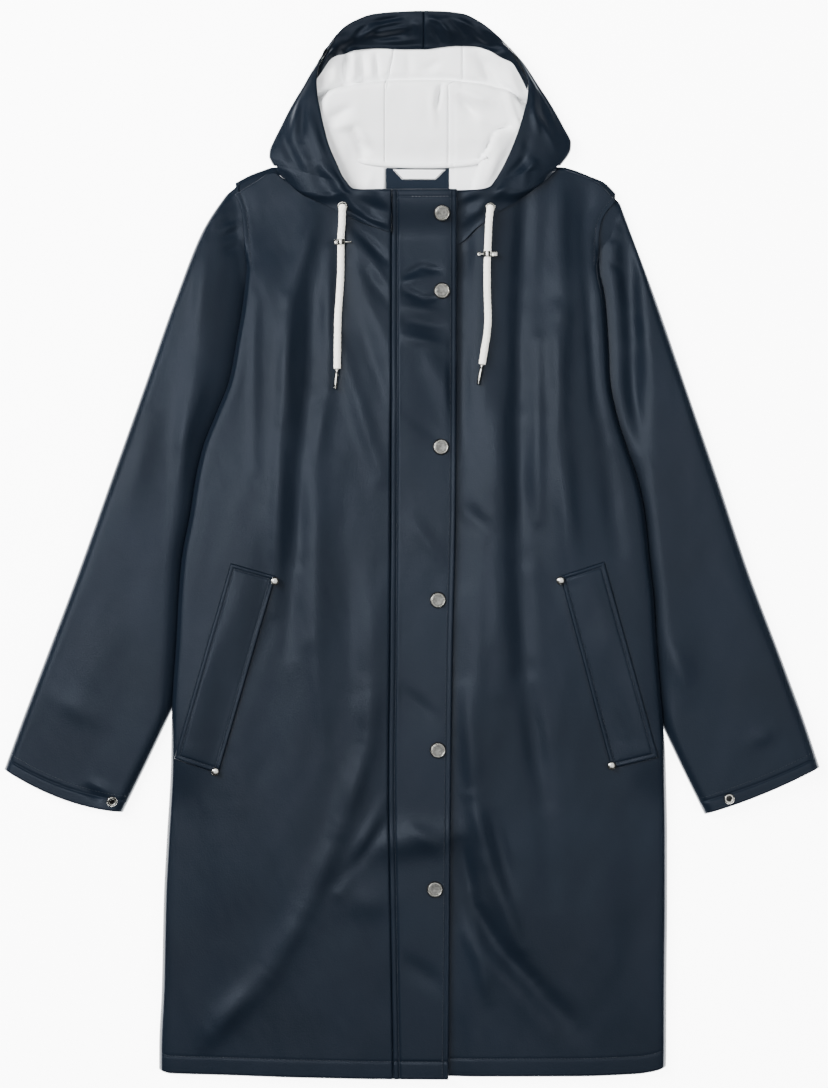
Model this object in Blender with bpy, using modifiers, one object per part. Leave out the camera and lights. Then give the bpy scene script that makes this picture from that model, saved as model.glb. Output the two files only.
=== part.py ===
"""A hooded raincoat, laid flat on its back.

Places are given in millimetres on a laying-out sheet: x runs to the right and y down the coat, and z is the
height above the surface that the coat lies on. "Right" and "left" in a piece's name are the wearer's, so the
right front lies on the left of the sheet.
"""

import math
from collections import namedtuple

import bmesh
import bpy
import numpy as np
from mathutils import Vector
from mathutils.bvhtree import BVHTree

MM = 0.001
SHEET_CENTRE_X = 412.0
SHEET_CENTRE_Y = 545.2

CLOTH = 1.4
PLACKET_WALL = 1.8
FACING_WALL = 1.0
LABEL_WALL = 1.0
WELT_WALL = 2.0
SEAM_GAP = 0.3
LAP = 2.7
COLLAR_LAP = 2.2
COLLAR_GAP = 0.9
SEAM_LAP = 2.0
LAP_GAP = 0.45

SLEEVE_FLAT = 4.0
SLEEVE_PUFF = 9.0
BACK_LIFT = 4.9
FRONT_PUFF = 5.5
FRONT_CROWN = 3.0
COLLAR_RISE = 8.0
RIM_RISE = 12.0
RIDGE_RISE = 12.0

SNAP_DIAMETER = 15.0
SNAP_HEIGHT = 2.4
RIVET_DIAMETER = 8.5
RIVET_HEIGHT = 2.2
CUFF_SNAP_DIAMETER = 11.0
EYELET_DIAMETER = 11.0
EYELET_HOLE = 5.6
EYELET_HEIGHT = 1.5
CORD_DIAMETER = 6.6
CORD_STEP = 15.0
CLIP_WALL = 0.9
CLIP_LENGTH = 6.4
TIP_DIAMETER = 4.2
TIP_LENGTH = 20.0

FINISHES = {
    "coated_cloth": ((0.022, 0.031, 0.042), 0.42, 0.0),
    "dark_facing": ((0.026, 0.035, 0.047), 0.5, 0.0),
    "label_tape": ((0.72, 0.72, 0.69), 0.8, 0.0),
    "nickel": ((0.55, 0.56, 0.53), 0.28, 1.0),
    "cotton_cord": ((0.80, 0.79, 0.73), 0.9, 0.0),
}

EdgeRow = namedtuple("EdgeRow", "y left right")
BODY_EDGES = (
    EdgeRow(160, 235.0, 616.0),
    EdgeRow(194, 235.0, 616.0),
    EdgeRow(201, 238.0, 615.0),
    EdgeRow(212, 241.6, 606.5),
    EdgeRow(222, 242.8, 601.5),
    EdgeRow(240, 244.0, 599.2),
    EdgeRow(265, 246.0, 599.4),
    EdgeRow(300, 243.0, 605.0),
    EdgeRow(340, 236.5, 608.0),
    EdgeRow(380, 229.0, 610.0),
    EdgeRow(416, 215.0, 617.0),
    EdgeRow(446, 203.0, 626.5),
    EdgeRow(480, 195.0, 638.0),
    EdgeRow(513, 190.0, 644.8),
    EdgeRow(562, 181.0, 650.0),
    EdgeRow(600, 178.0, 654.3),
    EdgeRow(639, 176.0, 656.5),
    EdgeRow(712, 171.5, 662.5),
    EdgeRow(760, 170.6, 666.0),
    EdgeRow(840, 166.0, 668.0),
    EdgeRow(900, 163.0, 668.0),
    EdgeRow(990, 161.0, 667.2),
    EdgeRow(1050, 158.4, 667.0),
    EdgeRow(1080, 158.4, 666.4),
)

TuckRow = namedtuple("TuckRow", "y left right")
SLEEVE_UNDER_BODY = (
    TuckRow(250, 0, 0),
    TuckRow(300, 16, 17),
    TuckRow(345, 34, 36),
    TuckRow(385, 41, 37),
    TuckRow(425, 58, 52),
    TuckRow(480, 69, 66),
    TuckRow(545, 62, 57),
    TuckRow(630, 37, 34),
    TuckRow(705, 9, 9),
    TuckRow(740, 0, 0),
)

CurveRow = namedtuple("CurveRow", "x y")
FRONT_TOP = (
    CurveRow(235, 194),
    CurveRow(254, 182.5),
    CurveRow(273, 172),
    CurveRow(284, 177.5),
    CurveRow(301, 192),
    CurveRow(323, 202),
    CurveRow(337, 209),
    CurveRow(365, 222),
    CurveRow(392, 232),
    CurveRow(404, 242),
    CurveRow(430, 243),
    CurveRow(457, 242),
    CurveRow(478, 225),
    CurveRow(499, 210),
    CurveRow(516, 200),
    CurveRow(541, 182),
    CurveRow(559, 169),
    CurveRow(580, 174.5),
    CurveRow(598.6, 183),
    CurveRow(616, 201),
)
BACK_TOP = (
    CurveRow(235, 181.5),
    CurveRow(250, 173.5),
    CurveRow(264, 168.3),
    CurveRow(276, 166.3),
    CurveRow(360, 166.5),
    CurveRow(412, 167.6),
    CurveRow(470, 166.8),
    CurveRow(563, 165.8),
    CurveRow(574, 168.3),
    CurveRow(590, 174.5),
    CurveRow(604, 180.5),
    CurveRow(616, 192),
)
HEM_RIGHT = (
    CurveRow(158, 1070.5),
    CurveRow(170, 1074),
    CurveRow(229, 1075.7),
    CurveRow(307, 1078),
    CurveRow(393, 1079.4),
    CurveRow(450, 1079.4),
)
HEM_LEFT = (
    CurveRow(390, 1076),
    CurveRow(478, 1076.7),
    CurveRow(577, 1076.7),
    CurveRow(636, 1074.7),
    CurveRow(655, 1071.8),
    CurveRow(667, 1067.5),
)
HOOD_TOP = (
    CurveRow(331, 42),
    CurveRow(339, 32),
    CurveRow(346, 26),
    CurveRow(356, 20),
    CurveRow(372, 14.3),
    CurveRow(398, 11.8),
    CurveRow(424, 11),
    CurveRow(442, 11.4),
    CurveRow(464, 14),
    CurveRow(477, 20),
    CurveRow(487, 26.5),
    CurveRow(494, 32),
    CurveRow(504, 41.5),
)
HOOD_RIDGE = (
    CurveRow(300, 108),
    CurveRow(321, 101),
    CurveRow(330, 94),
    CurveRow(345, 90),
    CurveRow(365, 86.5),
    CurveRow(385, 84.5),
    CurveRow(410, 83.5),
    CurveRow(440, 83.5),
    CurveRow(470, 86),
    CurveRow(495, 90),
    CurveRow(510, 95),
    CurveRow(522, 106),
    CurveRow(545, 112),
)

PlacketRow = namedtuple("PlacketRow", "y seam under edge")
PLACKET_EDGES = (
    PlacketRow(190, 391.5, 403.0, 457.0),
    PlacketRow(240, 391.5, 403.0, 457.0),
    PlacketRow(500, 391.0, 401.0, 456.0),
    PlacketRow(660, 390.0, 398.0, 452.5),
    PlacketRow(780, 388.7, 396.5, 451.0),
    PlacketRow(930, 391.0, 399.0, 449.8),
    PlacketRow(1080, 393.6, 401.0, 448.5),
)
PLACKET_TOP = 190.0

Fold = namedtuple("Fold", "x0 y0 x1 y1 height width")
FRONT_FOLDS = (
    Fold(244, 205, 253, 320, 2.5, 11),
    Fold(263, 205, 264, 310, -3.0, 9),
    Fold(272, 195, 280, 420, 4.5, 14),
    Fold(296, 320, 298, 420, -4.0, 11),
    Fold(291, 400, 281, 550, -4.0, 12),
    Fold(323, 340, 305, 530, 4.0, 16),
    Fold(275, 401, 262, 510, 3.5, 13),
    Fold(348, 245, 374, 292, -2.5, 10),
    Fold(352, 266, 384, 385, 3.0, 11),
    Fold(340, 401, 392, 500, 2.5, 13),
    Fold(250, 610, 240, 800, 2.5, 30),
    Fold(382, 775, 320, 885, -4.5, 14),
    Fold(318, 885, 287, 968, -4.0, 14),
    Fold(287, 967, 212, 1040, -4.5, 15),
    Fold(376, 810, 330, 900, 3.5, 15),
    Fold(300, 890, 245, 1005, 3.5, 20),
    Fold(509, 195, 515, 660, -4.0, 12),
    Fold(527, 205, 530, 570, 3.5, 12),
    Fold(539, 240, 551, 569, -3.0, 10),
    Fold(548, 240, 560, 527, 2.5, 11),
    Fold(577, 205, 577, 420, -3.5, 12),
    Fold(590, 240, 598, 400, 2.5, 12),
    Fold(478, 440, 478, 560, 2.5, 15),
    Fold(458, 822, 466, 900, -3.0, 12),
    Fold(466, 906, 503, 957, -3.0, 12),
    Fold(502, 957, 563, 1041, -3.5, 14),
    Fold(472, 830, 512, 943, 3.5, 14),
    Fold(549, 790, 549, 885, 3.0, 16),
    Fold(600, 850, 612, 1040, 2.0, 24),
)
SLEEVE_FOLDS = (
    Fold(208, 250, 187, 400, 2.5, 12),
    Fold(170, 380, 120, 560, 2.0, 18),
    Fold(120, 620, 60, 740, 2.0, 20),
    Fold(150, 560, 110, 700, -2.0, 16),
    Fold(640, 270, 672, 420, 2.5, 13),
    Fold(661, 640, 689, 690, 3.0, 16),
    Fold(700, 480, 745, 620, 2.0, 18),
    Fold(690, 560, 740, 700, -2.0, 17),
)

SleeveRow = namedtuple("SleeveRow", "outer_x outer_y inner_x inner_y")
SLEEVE_RIGHT_ROWS = (
    SleeveRow(234.0, 182.5, 268, 340),
    SleeveRow(203.0, 228, 266, 385),
    SleeveRow(174.0, 300, 268, 425),
    SleeveRow(142.2, 390, 262, 480),
    SleeveRow(110.0, 480, 243, 545),
    SleeveRow(78.0, 570, 211, 628),
    SleeveRow(44.0, 660, 175.5, 702),
    SleeveRow(21.3, 720, 149.5, 757),
    SleeveRow(3.4, 769, 122.5, 812.5),
)
SLEEVE_LEFT_ROWS = (
    SleeveRow(617.4, 194, 574, 345),
    SleeveRow(630.0, 228, 576, 388),
    SleeveRow(657.0, 300, 572, 430),
    SleeveRow(688.0, 390, 575, 485),
    SleeveRow(719.0, 480, 594, 548),
    SleeveRow(749.0, 570, 623, 630),
    SleeveRow(783.0, 660, 656.5, 712),
    SleeveRow(805.0, 720, 678.5, 760),
    SleeveRow(820.6, 767, 705, 814.5),
)
RING_SHARES = (0.018, 0.075, 0.17, 0.28, 0.4, 0.54, 0.7, 0.86, 0.982)
ArmholeRow = namedtuple("ArmholeRow", "share x y")
ARMHOLE_RIGHT = (
    ArmholeRow(0.0, 234.0, 182.5),
    ArmholeRow(0.075, 234.2, 194),
    ArmholeRow(0.17, 240.0, 210),
    ArmholeRow(0.28, 242.2, 226),
    ArmholeRow(0.4, 243.6, 246),
    ArmholeRow(0.54, 245.4, 266),
    ArmholeRow(0.75, 254.0, 300),
    ArmholeRow(1.0, 268.0, 340),
)
ARMHOLE_LEFT = (
    ArmholeRow(0.0, 617.4, 194),
    ArmholeRow(0.075, 617.0, 202),
    ArmholeRow(0.17, 607.4, 213),
    ArmholeRow(0.28, 602.0, 226),
    ArmholeRow(0.4, 600.2, 244),
    ArmholeRow(0.54, 600.0, 266),
    ArmholeRow(0.75, 590.0, 302),
    ArmholeRow(1.0, 574.0, 345),
)

HoodRow = namedtuple("HoodRow", "rim_x rim_y rim_z side_x side_y seam_x seam_y bow")
HOOD_RIGHT_ROWS = (
    HoodRow(335.0, 41.0, 16.5, 331.5, 42.5, 381, 12.6, 0),
    HoodRow(320.5, 70, 17, 310.5, 73.5, 383, 31, -9),
    HoodRow(317.0, 84, 20, 303.0, 86, 385, 48.5, -11),
    HoodRow(318.0, 97, 22, 295.5, 98, 385, 63, -8),
    HoodRow(320.5, 110, 24, 288.0, 111, 385, 78.5, -3),
    HoodRow(324.0, 126, 25, 280.5, 126, 385, 87, -1),
    HoodRow(329.0, 145, 25, 272.5, 142, 385, 112, 0),
    HoodRow(337.0, 164, 24, 269.3, 150, 385, 135, 0),
    HoodRow(343.0, 177, 22, 269.8, 156, 385, 152, 0),
    HoodRow(347.0, 182.5, 21, 272.0, 161, 385, 160, 0),
    HoodRow(349.5, 186, 20, 275.5, 166.0, 385, 166.3, 0),
    HoodRow(354.0, 189.2, 19, 295.0, 186.7, 385, 166.3, 0),
    HoodRow(364.0, 190, 18, 320.0, 200.3, 385, 166.3, 0),
    HoodRow(377.0, 190, 17, 353.0, 216.3, 385, 166.3, 0),
    HoodRow(391.0, 190, 16, 391.0, 231.4, 385, 166.3, 0),
)
HOOD_LEFT_ROWS = (
    HoodRow(500.0, 40.5, 16.5, 503.5, 42.0, 453, 12.6, 0),
    HoodRow(516.5, 58, 17, 523.5, 63.0, 454, 30, -8),
    HoodRow(528.0, 84, 20, 540.0, 87, 453, 46.5, -11),
    HoodRow(527.0, 98, 22, 547.5, 98, 452, 62, -8),
    HoodRow(524.0, 111, 24, 555.5, 111, 450, 78.5, -3),
    HoodRow(519.5, 127, 25, 564.3, 127, 448, 87, -1),
    HoodRow(513.0, 145, 25, 571.6, 142, 448, 112, 0),
    HoodRow(505.0, 163, 24, 571.2, 149, 448, 135, 0),
    HoodRow(499.0, 174, 22, 569.8, 155, 448, 152, 0),
    HoodRow(496.0, 179, 21, 567.0, 160.5, 448, 160, 0),
    HoodRow(493.5, 182.5, 20, 562.8, 165.6, 448, 167.6, 0),
    HoodRow(489.5, 187, 19, 541.0, 181.7, 448, 167.6, 0),
    HoodRow(478.0, 190, 18, 517.0, 199.2, 448, 167.6, 0),
    HoodRow(457.0, 190.5, 17, 478.0, 224.7, 448, 167.6, 0),
    HoodRow(430.0, 190.5, 16, 450.0, 242.1, 448, 167.6, 0),
    HoodRow(403.5, 190.5, 16, 403.5, 241.7, 448, 167.6, 0),
)
SHOULDER_ROW = 10
LEAF_COLUMNS = 6
MIDDLE_COLUMNS = 5
FACING_ROWS = 2
FACING_LIFT = 1.3
FACING_SEAM_SHARE = 0.6
FACING_SEAM_HALF = 0.003
TURN_INSETS = (4.0, 0.9, 0.0, 0.9)
TURN_HEIGHTS = (1.0, 0.72, 0.4, 0.12)
SIDE_HEIGHT = 9.0

Spot = namedtuple("Spot", "x y")
SNAPS = (
    Spot(442, 214),
    Spot(442, 291),
    Spot(441, 447),
    Spot(438, 600),
    Spot(438, 750),
    Spot(435, 889),
)
WELT_RIGHT = (Spot(231, 563), Spot(276, 576), Spot(218.5, 773.5), Spot(174.5, 758.5))
WELT_LEFT = (Spot(560, 576), Spot(604, 561.5), Spot(658, 757), Spot(611.5, 768.5))
RIVETS = {
    "right": {"top": Spot(275.0, 581.0), "bottom": Spot(215.5, 771.5)},
    "left": {"top": Spot(560.5, 580.5), "bottom": Spot(611.5, 765.5)},
}
CUFF_SNAPS = {"right": Spot(112, 801), "left": Spot(729, 798.5)}
EYELETS = {"right": Spot(342.6, 206.0), "left": Spot(490.0, 207.0)}
NECK_PATCH = (Spot(386, 170), Spot(449, 170), Spot(449, 214), Spot(386, 214))
LABEL_PATCH = (Spot(392, 171), Spot(444.5, 171), Spot(435.5, 181), Spot(403, 181))
CORD_RIGHT_ROUTE = (
    Spot(342.6, 207),
    Spot(342.7, 216),
    Spot(341.6, 230),
    Spot(341.0, 243),
    Spot(341.0, 264),
    Spot(339.7, 295),
    Spot(338.0, 318),
    Spot(337.6, 348),
    Spot(337.4, 369),
)
CORD_LEFT_ROUTE = (
    Spot(490.0, 208),
    Spot(489.0, 218),
    Spot(488.4, 230),
    Spot(487.6, 249),
    Spot(487.0, 272),
    Spot(487.0, 293),
    Spot(488.0, 312),
    Spot(487.0, 333),
    Spot(484.6, 348),
    Spot(482.0, 364.5),
)
CLIP_RIGHT_Y = 242.5
CLIP_LEFT_Y = 254.5
TIP_RIGHT_END = Spot(334.9, 389.5)
TIP_LEFT_END = Spot(477.6, 386.0)


def world(x, y, z):
    return Vector(((x - SHEET_CENTRE_X) * MM, (SHEET_CENTRE_Y - y) * MM, z * MM))


def smooth_line(keys, values):
    """A curve through the values that never swings past them."""
    keys = np.asarray(keys, float)
    values = np.asarray(values, float)
    slopes = np.diff(values) / np.diff(keys)
    tangents = np.concatenate([slopes[:1], slopes[1:], slopes[-1:]])
    before, after = slopes[:-1], slopes[1:]
    same_way = before * after > 0
    total = np.where(same_way, before + after, 1.0)
    tangents[1:-1] = np.where(same_way, 2 * before * after / total, 0.0)

    def value(at):
        at = np.clip(np.asarray(at, float), keys[0], keys[-1])
        k = np.clip(np.searchsorted(keys, at, side="right") - 1, 0, len(keys) - 2)
        step = keys[k + 1] - keys[k]
        t = (at - keys[k]) / step
        rise = values[k + 1] - values[k]
        bend0 = tangents[k] * step - rise
        bend1 = rise - tangents[k + 1] * step
        return values[k] + t * rise + t * (1 - t) * (bend0 * (1 - t) + bend1 * t)

    return value


def column(rows, key, name):
    return smooth_line([getattr(row, key) for row in rows], [getattr(row, name) for row in rows])


def by_index(rows, name):
    return smooth_line(range(len(rows)), [getattr(row, name) for row in rows])


body_left = column(BODY_EDGES, "y", "left")
body_right = column(BODY_EDGES, "y", "right")
tuck_left = column(SLEEVE_UNDER_BODY, "y", "left")
tuck_right = column(SLEEVE_UNDER_BODY, "y", "right")
front_top = column(FRONT_TOP, "x", "y")
back_top = column(BACK_TOP, "x", "y")
hem_right = column(HEM_RIGHT, "x", "y")
hem_left = column(HEM_LEFT, "x", "y")
hood_top = column(HOOD_TOP, "x", "y")
hood_ridge = column(HOOD_RIDGE, "x", "y")
placket_seam = column(PLACKET_EDGES, "y", "seam")
placket_under = column(PLACKET_EDGES, "y", "under")
placket_edge = column(PLACKET_EDGES, "y", "edge")


def ease(value, start, end):
    """0 before start, 1 after end and a soft step between them."""
    t = np.clip((np.asarray(value, float) - start) / (end - start), 0.0, 1.0)
    return t * t * (3 - 2 * t)


def mix(a, b, share):
    return a + (b - a) * share


def fold_height(folds, x, y):
    total = 0.0
    for fold in folds:
        dx = fold.x1 - fold.x0
        dy = fold.y1 - fold.y0
        t = np.clip(((x - fold.x0) * dx + (y - fold.y0) * dy) / (dx * dx + dy * dy), 0, 1)
        away = np.hypot(x - fold.x0 - t * dx, y - fold.y0 - t * dy)
        taper = 0.4 + 0.6 * np.sin(math.pi * t)
        total = total + fold.height * taper * np.exp(-((away / fold.width) ** 2))
    return total


def armhole_join(y):
    """1 along the sewn armhole and 0 further down, where the body lies on the sleeve."""
    return 1 - ease(y, 232, 262)


def back_lift(x, y):
    """How far the sleeves under the body lift the back panel."""
    under_left = 1 - ease(x - body_left(y), tuck_left(y) + 8, tuck_left(y) + 60)
    under_right = 1 - ease(body_right(y) - x, tuck_right(y) + 8, tuck_right(y) + 60)
    along = ease(y, 226, 256) * (1 - ease(y, 745, 810))
    return BACK_LIFT * np.maximum(under_left, under_right) * along


def front_height(x, y):
    """The underside of the fronts and of the placket."""
    inside = np.minimum(x - body_left(y), body_right(y) - x)
    side_round = 30.0
    share = np.clip(inside / side_round, 0, 1)
    puff = FRONT_PUFF * np.sqrt(1 - (1 - share) ** 2)
    puff = np.maximum(puff, FRONT_PUFF * armhole_join(y))
    crown = FRONT_CROWN * ease(inside, 20, 150)
    folds = fold_height(FRONT_FOLDS, x, y) * ease(inside, 2, 22)
    by_placket = ease(x, 375, 390) * (1 - ease(x, placket_edge(y) + 8, placket_edge(y) + 34))
    floor = 0.4 + 4.0 * by_placket
    above = puff + crown + folds - floor
    soft = 1.5
    loft = floor + soft * np.logaddexp(0, above / soft)
    edge_floor = np.clip(share * 4, 0, 1)
    loft = np.where(armhole_join(y) > 0, loft, loft * edge_floor)
    return back_lift(x, y) + CLOTH + SEAM_GAP + 0.2 + loft


def left_front_height(x, y):
    """The underside of the left front, which dips below the placket and further below the hood's collar."""
    lap = LAP + COLLAR_LAP * (1 - ease(y, 246, 285))
    return front_height(x, y) - lap * (1 - ease(x, placket_edge(y) + 1, placket_edge(y) + 30))


def collar_rise(x, y):
    by_placket = ease(x, 370, 388) * (1 - ease(x, 455, 470))
    foot = mix(front_top(x), 241.0, by_placket)
    return COLLAR_RISE * ease(foot - y, 0, 48)


def placket_height(x, y):
    return front_height(x, np.maximum(y, front_top(x))) + collar_rise(x, y)


def on_front(front):
    """The outer side of the hood's collar, whose lower edge laps over the front of this height."""

    def height(x, y):
        top = front(x, np.maximum(y, front_top(x))) + CLOTH
        return top + COLLAR_GAP + CLOTH + collar_rise(x, y)

    return height


def link(obj):
    bpy.data.collections["hooded_raincoat"].objects.link(obj)


def finish(obj, finish_name):
    colour, roughness, metallic = FINISHES[finish_name]
    material = bpy.data.materials.new(obj.name)
    material.use_nodes = True
    shader = material.node_tree.nodes["Principled BSDF"]
    shader.inputs["Base Color"].default_value = (*colour, 1.0)
    shader.inputs["Roughness"].default_value = roughness
    shader.inputs["Metallic"].default_value = metallic
    material.diffuse_color = (*colour, 1.0)
    obj.data.materials.clear()
    obj.data.materials.append(material)


def object_from(name, bm, finish_name):
    mesh = bpy.data.meshes.new(name)
    bm.to_mesh(mesh)
    bm.free()
    mesh.shade_smooth()
    obj = bpy.data.objects.new(name, mesh)
    link(obj)
    finish(obj, finish_name)
    return obj


def thicken(obj, wall, inward):
    """Gives a sheet its wall. Its faces are the outer side, and inward says on which side the wall goes."""
    solidify = obj.modifiers.new("wall", "SOLIDIFY")
    solidify.thickness = wall * MM
    solidify.offset = -1.0 if inward else 1.0
    obj.modifiers.new("facets", "TRIANGULATE")


def sheet_grid(columns, rows, place, kept=None):
    """A grid of cloth. place gives x, y and z from arrays of column and row numbers, and kept says which faces stay."""
    bm = bmesh.new()
    bmesh.ops.create_grid(bm, x_segments=columns, y_segments=rows, size=0.5)
    bm.verts.ensure_lookup_table()
    across = np.array([(vert.co.x + 0.5) * columns for vert in bm.verts])
    down = np.array([(0.5 - vert.co.y) * rows for vert in bm.verts])
    across = np.round(across)
    down = np.round(down)
    if kept:
        corners = [[(across[v.index], down[v.index]) for v in face.verts] for face in bm.faces]
        lost = [face for face, at in zip(bm.faces, corners) if not kept(min(at)[0], min(d for _, d in at))]
        bmesh.ops.delete(bm, geom=lost, context="FACES")
        bm.verts.ensure_lookup_table()
        across = np.array([(vert.co.x + 0.5) * columns for vert in bm.verts])
        down = np.array([(0.5 - vert.co.y) * rows for vert in bm.verts])
        across = np.round(across)
        down = np.round(down)
    xs, ys, zs = place(across, down)
    for vert, x, y, z in zip(bm.verts, xs, ys, zs):
        vert.co = world(x, y, z)
    bmesh.ops.recalc_face_normals(bm, faces=bm.faces)
    return bm


def face_up(bm, up=True):
    """Turns the sheet over where most of it faces the wrong way."""
    lean = sum(face.normal.z * face.calc_area() for face in bm.faces)
    if (lean > 0) != up:
        bmesh.ops.reverse_faces(bm, faces=bm.faces)


def make_back_panel():
    columns = 14
    rows = 22
    roll_rows = 3

    def place(across, down):
        share = across / columns
        top_x = mix(235.3, 615.7, share)
        top_y = back_top(top_x) + SEAM_GAP / 2
        shoulder = np.maximum(1 - ease(top_x, 266, 290), ease(top_x, 546, 570))
        hem_x = mix(body_left(1075), body_right(1075), share)
        hem_y = np.where(hem_x < 420, hem_right(hem_x), hem_left(hem_x)) - 3.0
        body = np.clip((down - roll_rows) / (rows - roll_rows), 0, 1)
        y = mix(top_y + 4.5, hem_y, body)
        inset = 4.0 - 2.5 * ease(y, 270, 310)
        x = mix(body_left(y) + inset, body_right(y) - inset, share)
        x = mix(top_x, x, ease(down, 1, roll_rows + 1))
        z = back_lift(x, y)
        seam_y = front_top(top_x) + SEAM_LAP
        seam_z = front_height(top_x, seam_y) - LAP_GAP
        y = np.where(down == 0, mix(top_y, seam_y, shoulder), y)
        z = np.where(down == 0, seam_z * shoulder, z)
        y = np.where(down == 1, mix(top_y + 1.2, top_y + 1.0, shoulder), y)
        z = np.where(down == 1, (seam_z - 1.2) * shoulder, z)
        y = np.where(down == 2, mix(top_y + 2.6, top_y + 1.0, shoulder), y)
        z = np.where(down == 2, 1.6 * shoulder, z)
        return x, y, z

    bm = sheet_grid(columns, rows, place)
    face_up(bm, up=False)
    obj = object_from("back_panel", bm, "coated_cloth")
    thicken(obj, CLOTH, inward=True)
    return obj


def top_row_y(share, outer, inner):
    """Where a column of a front meets the neck and shoulder seam."""
    y = np.full_like(share, 205.0)
    for _ in range(60):
        x = mix(outer(y), inner(y), share)
        y = 0.5 * y + 0.5 * front_top(x)
    return y


def make_front(name, columns, rows, outer, inner, hem, height):
    def place(across, down):
        share = across / columns
        top = top_row_y(share, outer, inner)
        hem_y = hem(mix(outer(1075), inner(1075), share))
        y = mix(top + SEAM_GAP / 2, hem_y, (down / rows) ** 1.2)
        x = mix(outer(y), inner(y), share)
        return x, y, height(x, y)

    bm = sheet_grid(columns, rows, place)
    face_up(bm)
    obj = object_from(name, bm, "coated_cloth")
    thicken(obj, CLOTH, inward=False)
    return obj


def make_fronts():
    return [
        make_front(
            "front_right",
            13,
            34,
            body_left,
            lambda y: placket_seam(y) - SEAM_GAP,
            hem_right,
            front_height,
        ),
        make_front(
            "front_left",
            14,
            34,
            body_right,
            placket_under,
            hem_left,
            left_front_height,
        ),
    ]


def make_placket():
    columns = 4
    rows = 36

    def place(across, down):
        y = mix(PLACKET_TOP, 1079.4, down / rows)
        x = mix(placket_seam(y), placket_edge(y), across / columns)
        return x, y, placket_height(x, y)

    bm = sheet_grid(columns, rows, place)
    face_up(bm)
    obj = object_from("placket", bm, "coated_cloth")
    thicken(obj, PLACKET_WALL, inward=False)
    return obj


def make_sleeve(name, sleeve_rows, armhole_rows, body_edge, side):
    """A flat tube. Its ring runs over the upper side from the outer fold to the inner fold, and back below."""
    over = len(RING_SHARES)
    ring = 2 * over + 2
    rows = 20
    outer_x = by_index(sleeve_rows, "outer_x")
    outer_y = by_index(sleeve_rows, "outer_y")
    inner_x = by_index(sleeve_rows, "inner_x")
    inner_y = by_index(sleeve_rows, "inner_y")
    armhole_x = column(armhole_rows, "share", "x")
    armhole_y = column(armhole_rows, "share", "y")
    shares = np.array([0.0, *RING_SHARES, 1.0, *reversed(RING_SHARES)])

    def place(across, down):
        step = across.astype(int) % ring
        share = shares[step]
        below = step > over + 1
        at_fold = (step == 0) | (step == over + 1)
        row = (down / rows) ** 1.1 * (len(sleeve_rows) - 1)
        chord_x = mix(outer_x(row), inner_x(row), share)
        chord_y = mix(outer_y(row), inner_y(row), share)
        start_x = mix(outer_x(0), inner_x(0), share)
        start_y = mix(outer_y(0), inner_y(0), share)
        sewn = 1 - ease(row, 0, 1.6)
        x = chord_x + sewn * (armhole_x(share) - start_x)
        y = chord_y + sewn * (armhole_y(share) - start_y)
        clear = side * (body_edge(y) - x)
        open_side = np.maximum(ease(clear, 18, 48), 0.42 * armhole_join(y) * ease(clear, -3, 1))
        from_outer = np.hypot(x - outer_x(row), y - outer_y(row))
        from_inner = np.hypot(x - inner_x(row), y - inner_y(row))
        rounding = np.sqrt(1 - (1 - np.clip(from_outer / 26, 0, 1)) ** 2)
        rounding = rounding * np.sqrt(1 - (1 - np.clip(from_inner / 22, 0, 1)) ** 2)
        folds = fold_height(SLEEVE_FOLDS, x, y) * ease(clear, 18, 40)
        puff = np.maximum(SLEEVE_PUFF * open_side + folds, 0) * rounding
        top = SLEEVE_FLAT + puff
        z = np.where(below, 0.0, np.where(at_fold, 0.5 * SLEEVE_FLAT, top))
        return x, y, z

    bm = sheet_grid(ring, rows, place)
    bmesh.ops.remove_doubles(bm, verts=bm.verts, dist=0.02 * MM)
    bmesh.ops.recalc_face_normals(bm, faces=bm.faces)
    top_side = [face for face in bm.faces if face.calc_center_median().z > SLEEVE_FLAT * 0.9 * MM]
    if sum(face.normal.z for face in top_side) < 0:
        bmesh.ops.reverse_faces(bm, faces=bm.faces)
    obj = object_from(name, bm, "coated_cloth")
    thicken(obj, CLOTH, inward=True)
    return obj


def hood_floor(x, y, row, from_side):
    """The outer side of the hood where it lies below: it rises to the rim at the top and over the cross fold."""
    rim = RIM_RISE * (1 - ease(row, 0, 2.3))
    behind = y - hood_ridge(x)
    ridge = np.where(behind < 0, np.exp(-((behind / 4.5) ** 2)), 0.3 + 0.7 * np.exp(-((behind / 40) ** 2)))
    ridge = ridge * (1 - ease(y, 135, 163)) * ease(from_side, 16, 46) * ease(row, 2.5, 3.2)
    return rim + RIDGE_RISE * ridge


def hood_lines(hood_rows):
    return {name: by_index(hood_rows, name) for name in HoodRow._fields}


def lower_leaf(hood_rows, lines, side, row, share):
    """A place on the hood's lower leaf, from the side turn (share 0) to the seam of the middle panel (share 1)."""
    first = hood_rows[0]
    last = hood_rows[SHOULDER_ROW]
    side_x = lines["side_x"](row)
    side_y = lines["side_y"](row)
    x = mix(side_x + side * TURN_INSETS[0], lines["seam_x"](row) - side * SEAM_GAP / 2, share)
    y = mix(side_y, lines["seam_y"](row), share) + lines["bow"](row) * 4 * share * (1 - share)
    top_x = mix(first.side_x, first.seam_x, share)
    y = y + (1 - ease(row, 0, 1)) * (hood_top(top_x) - mix(first.side_y, first.seam_y, share))
    neck_x = mix(last.side_x, last.seam_x, share)
    to_neck = back_top(neck_x) - SEAM_GAP - mix(last.side_y, last.seam_y, share)
    y = y + ease(row, SHOULDER_ROW - 2, SHOULDER_ROW) * to_neck
    return x, y, hood_floor(x, y, row, np.abs(x - side_x))


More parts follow.
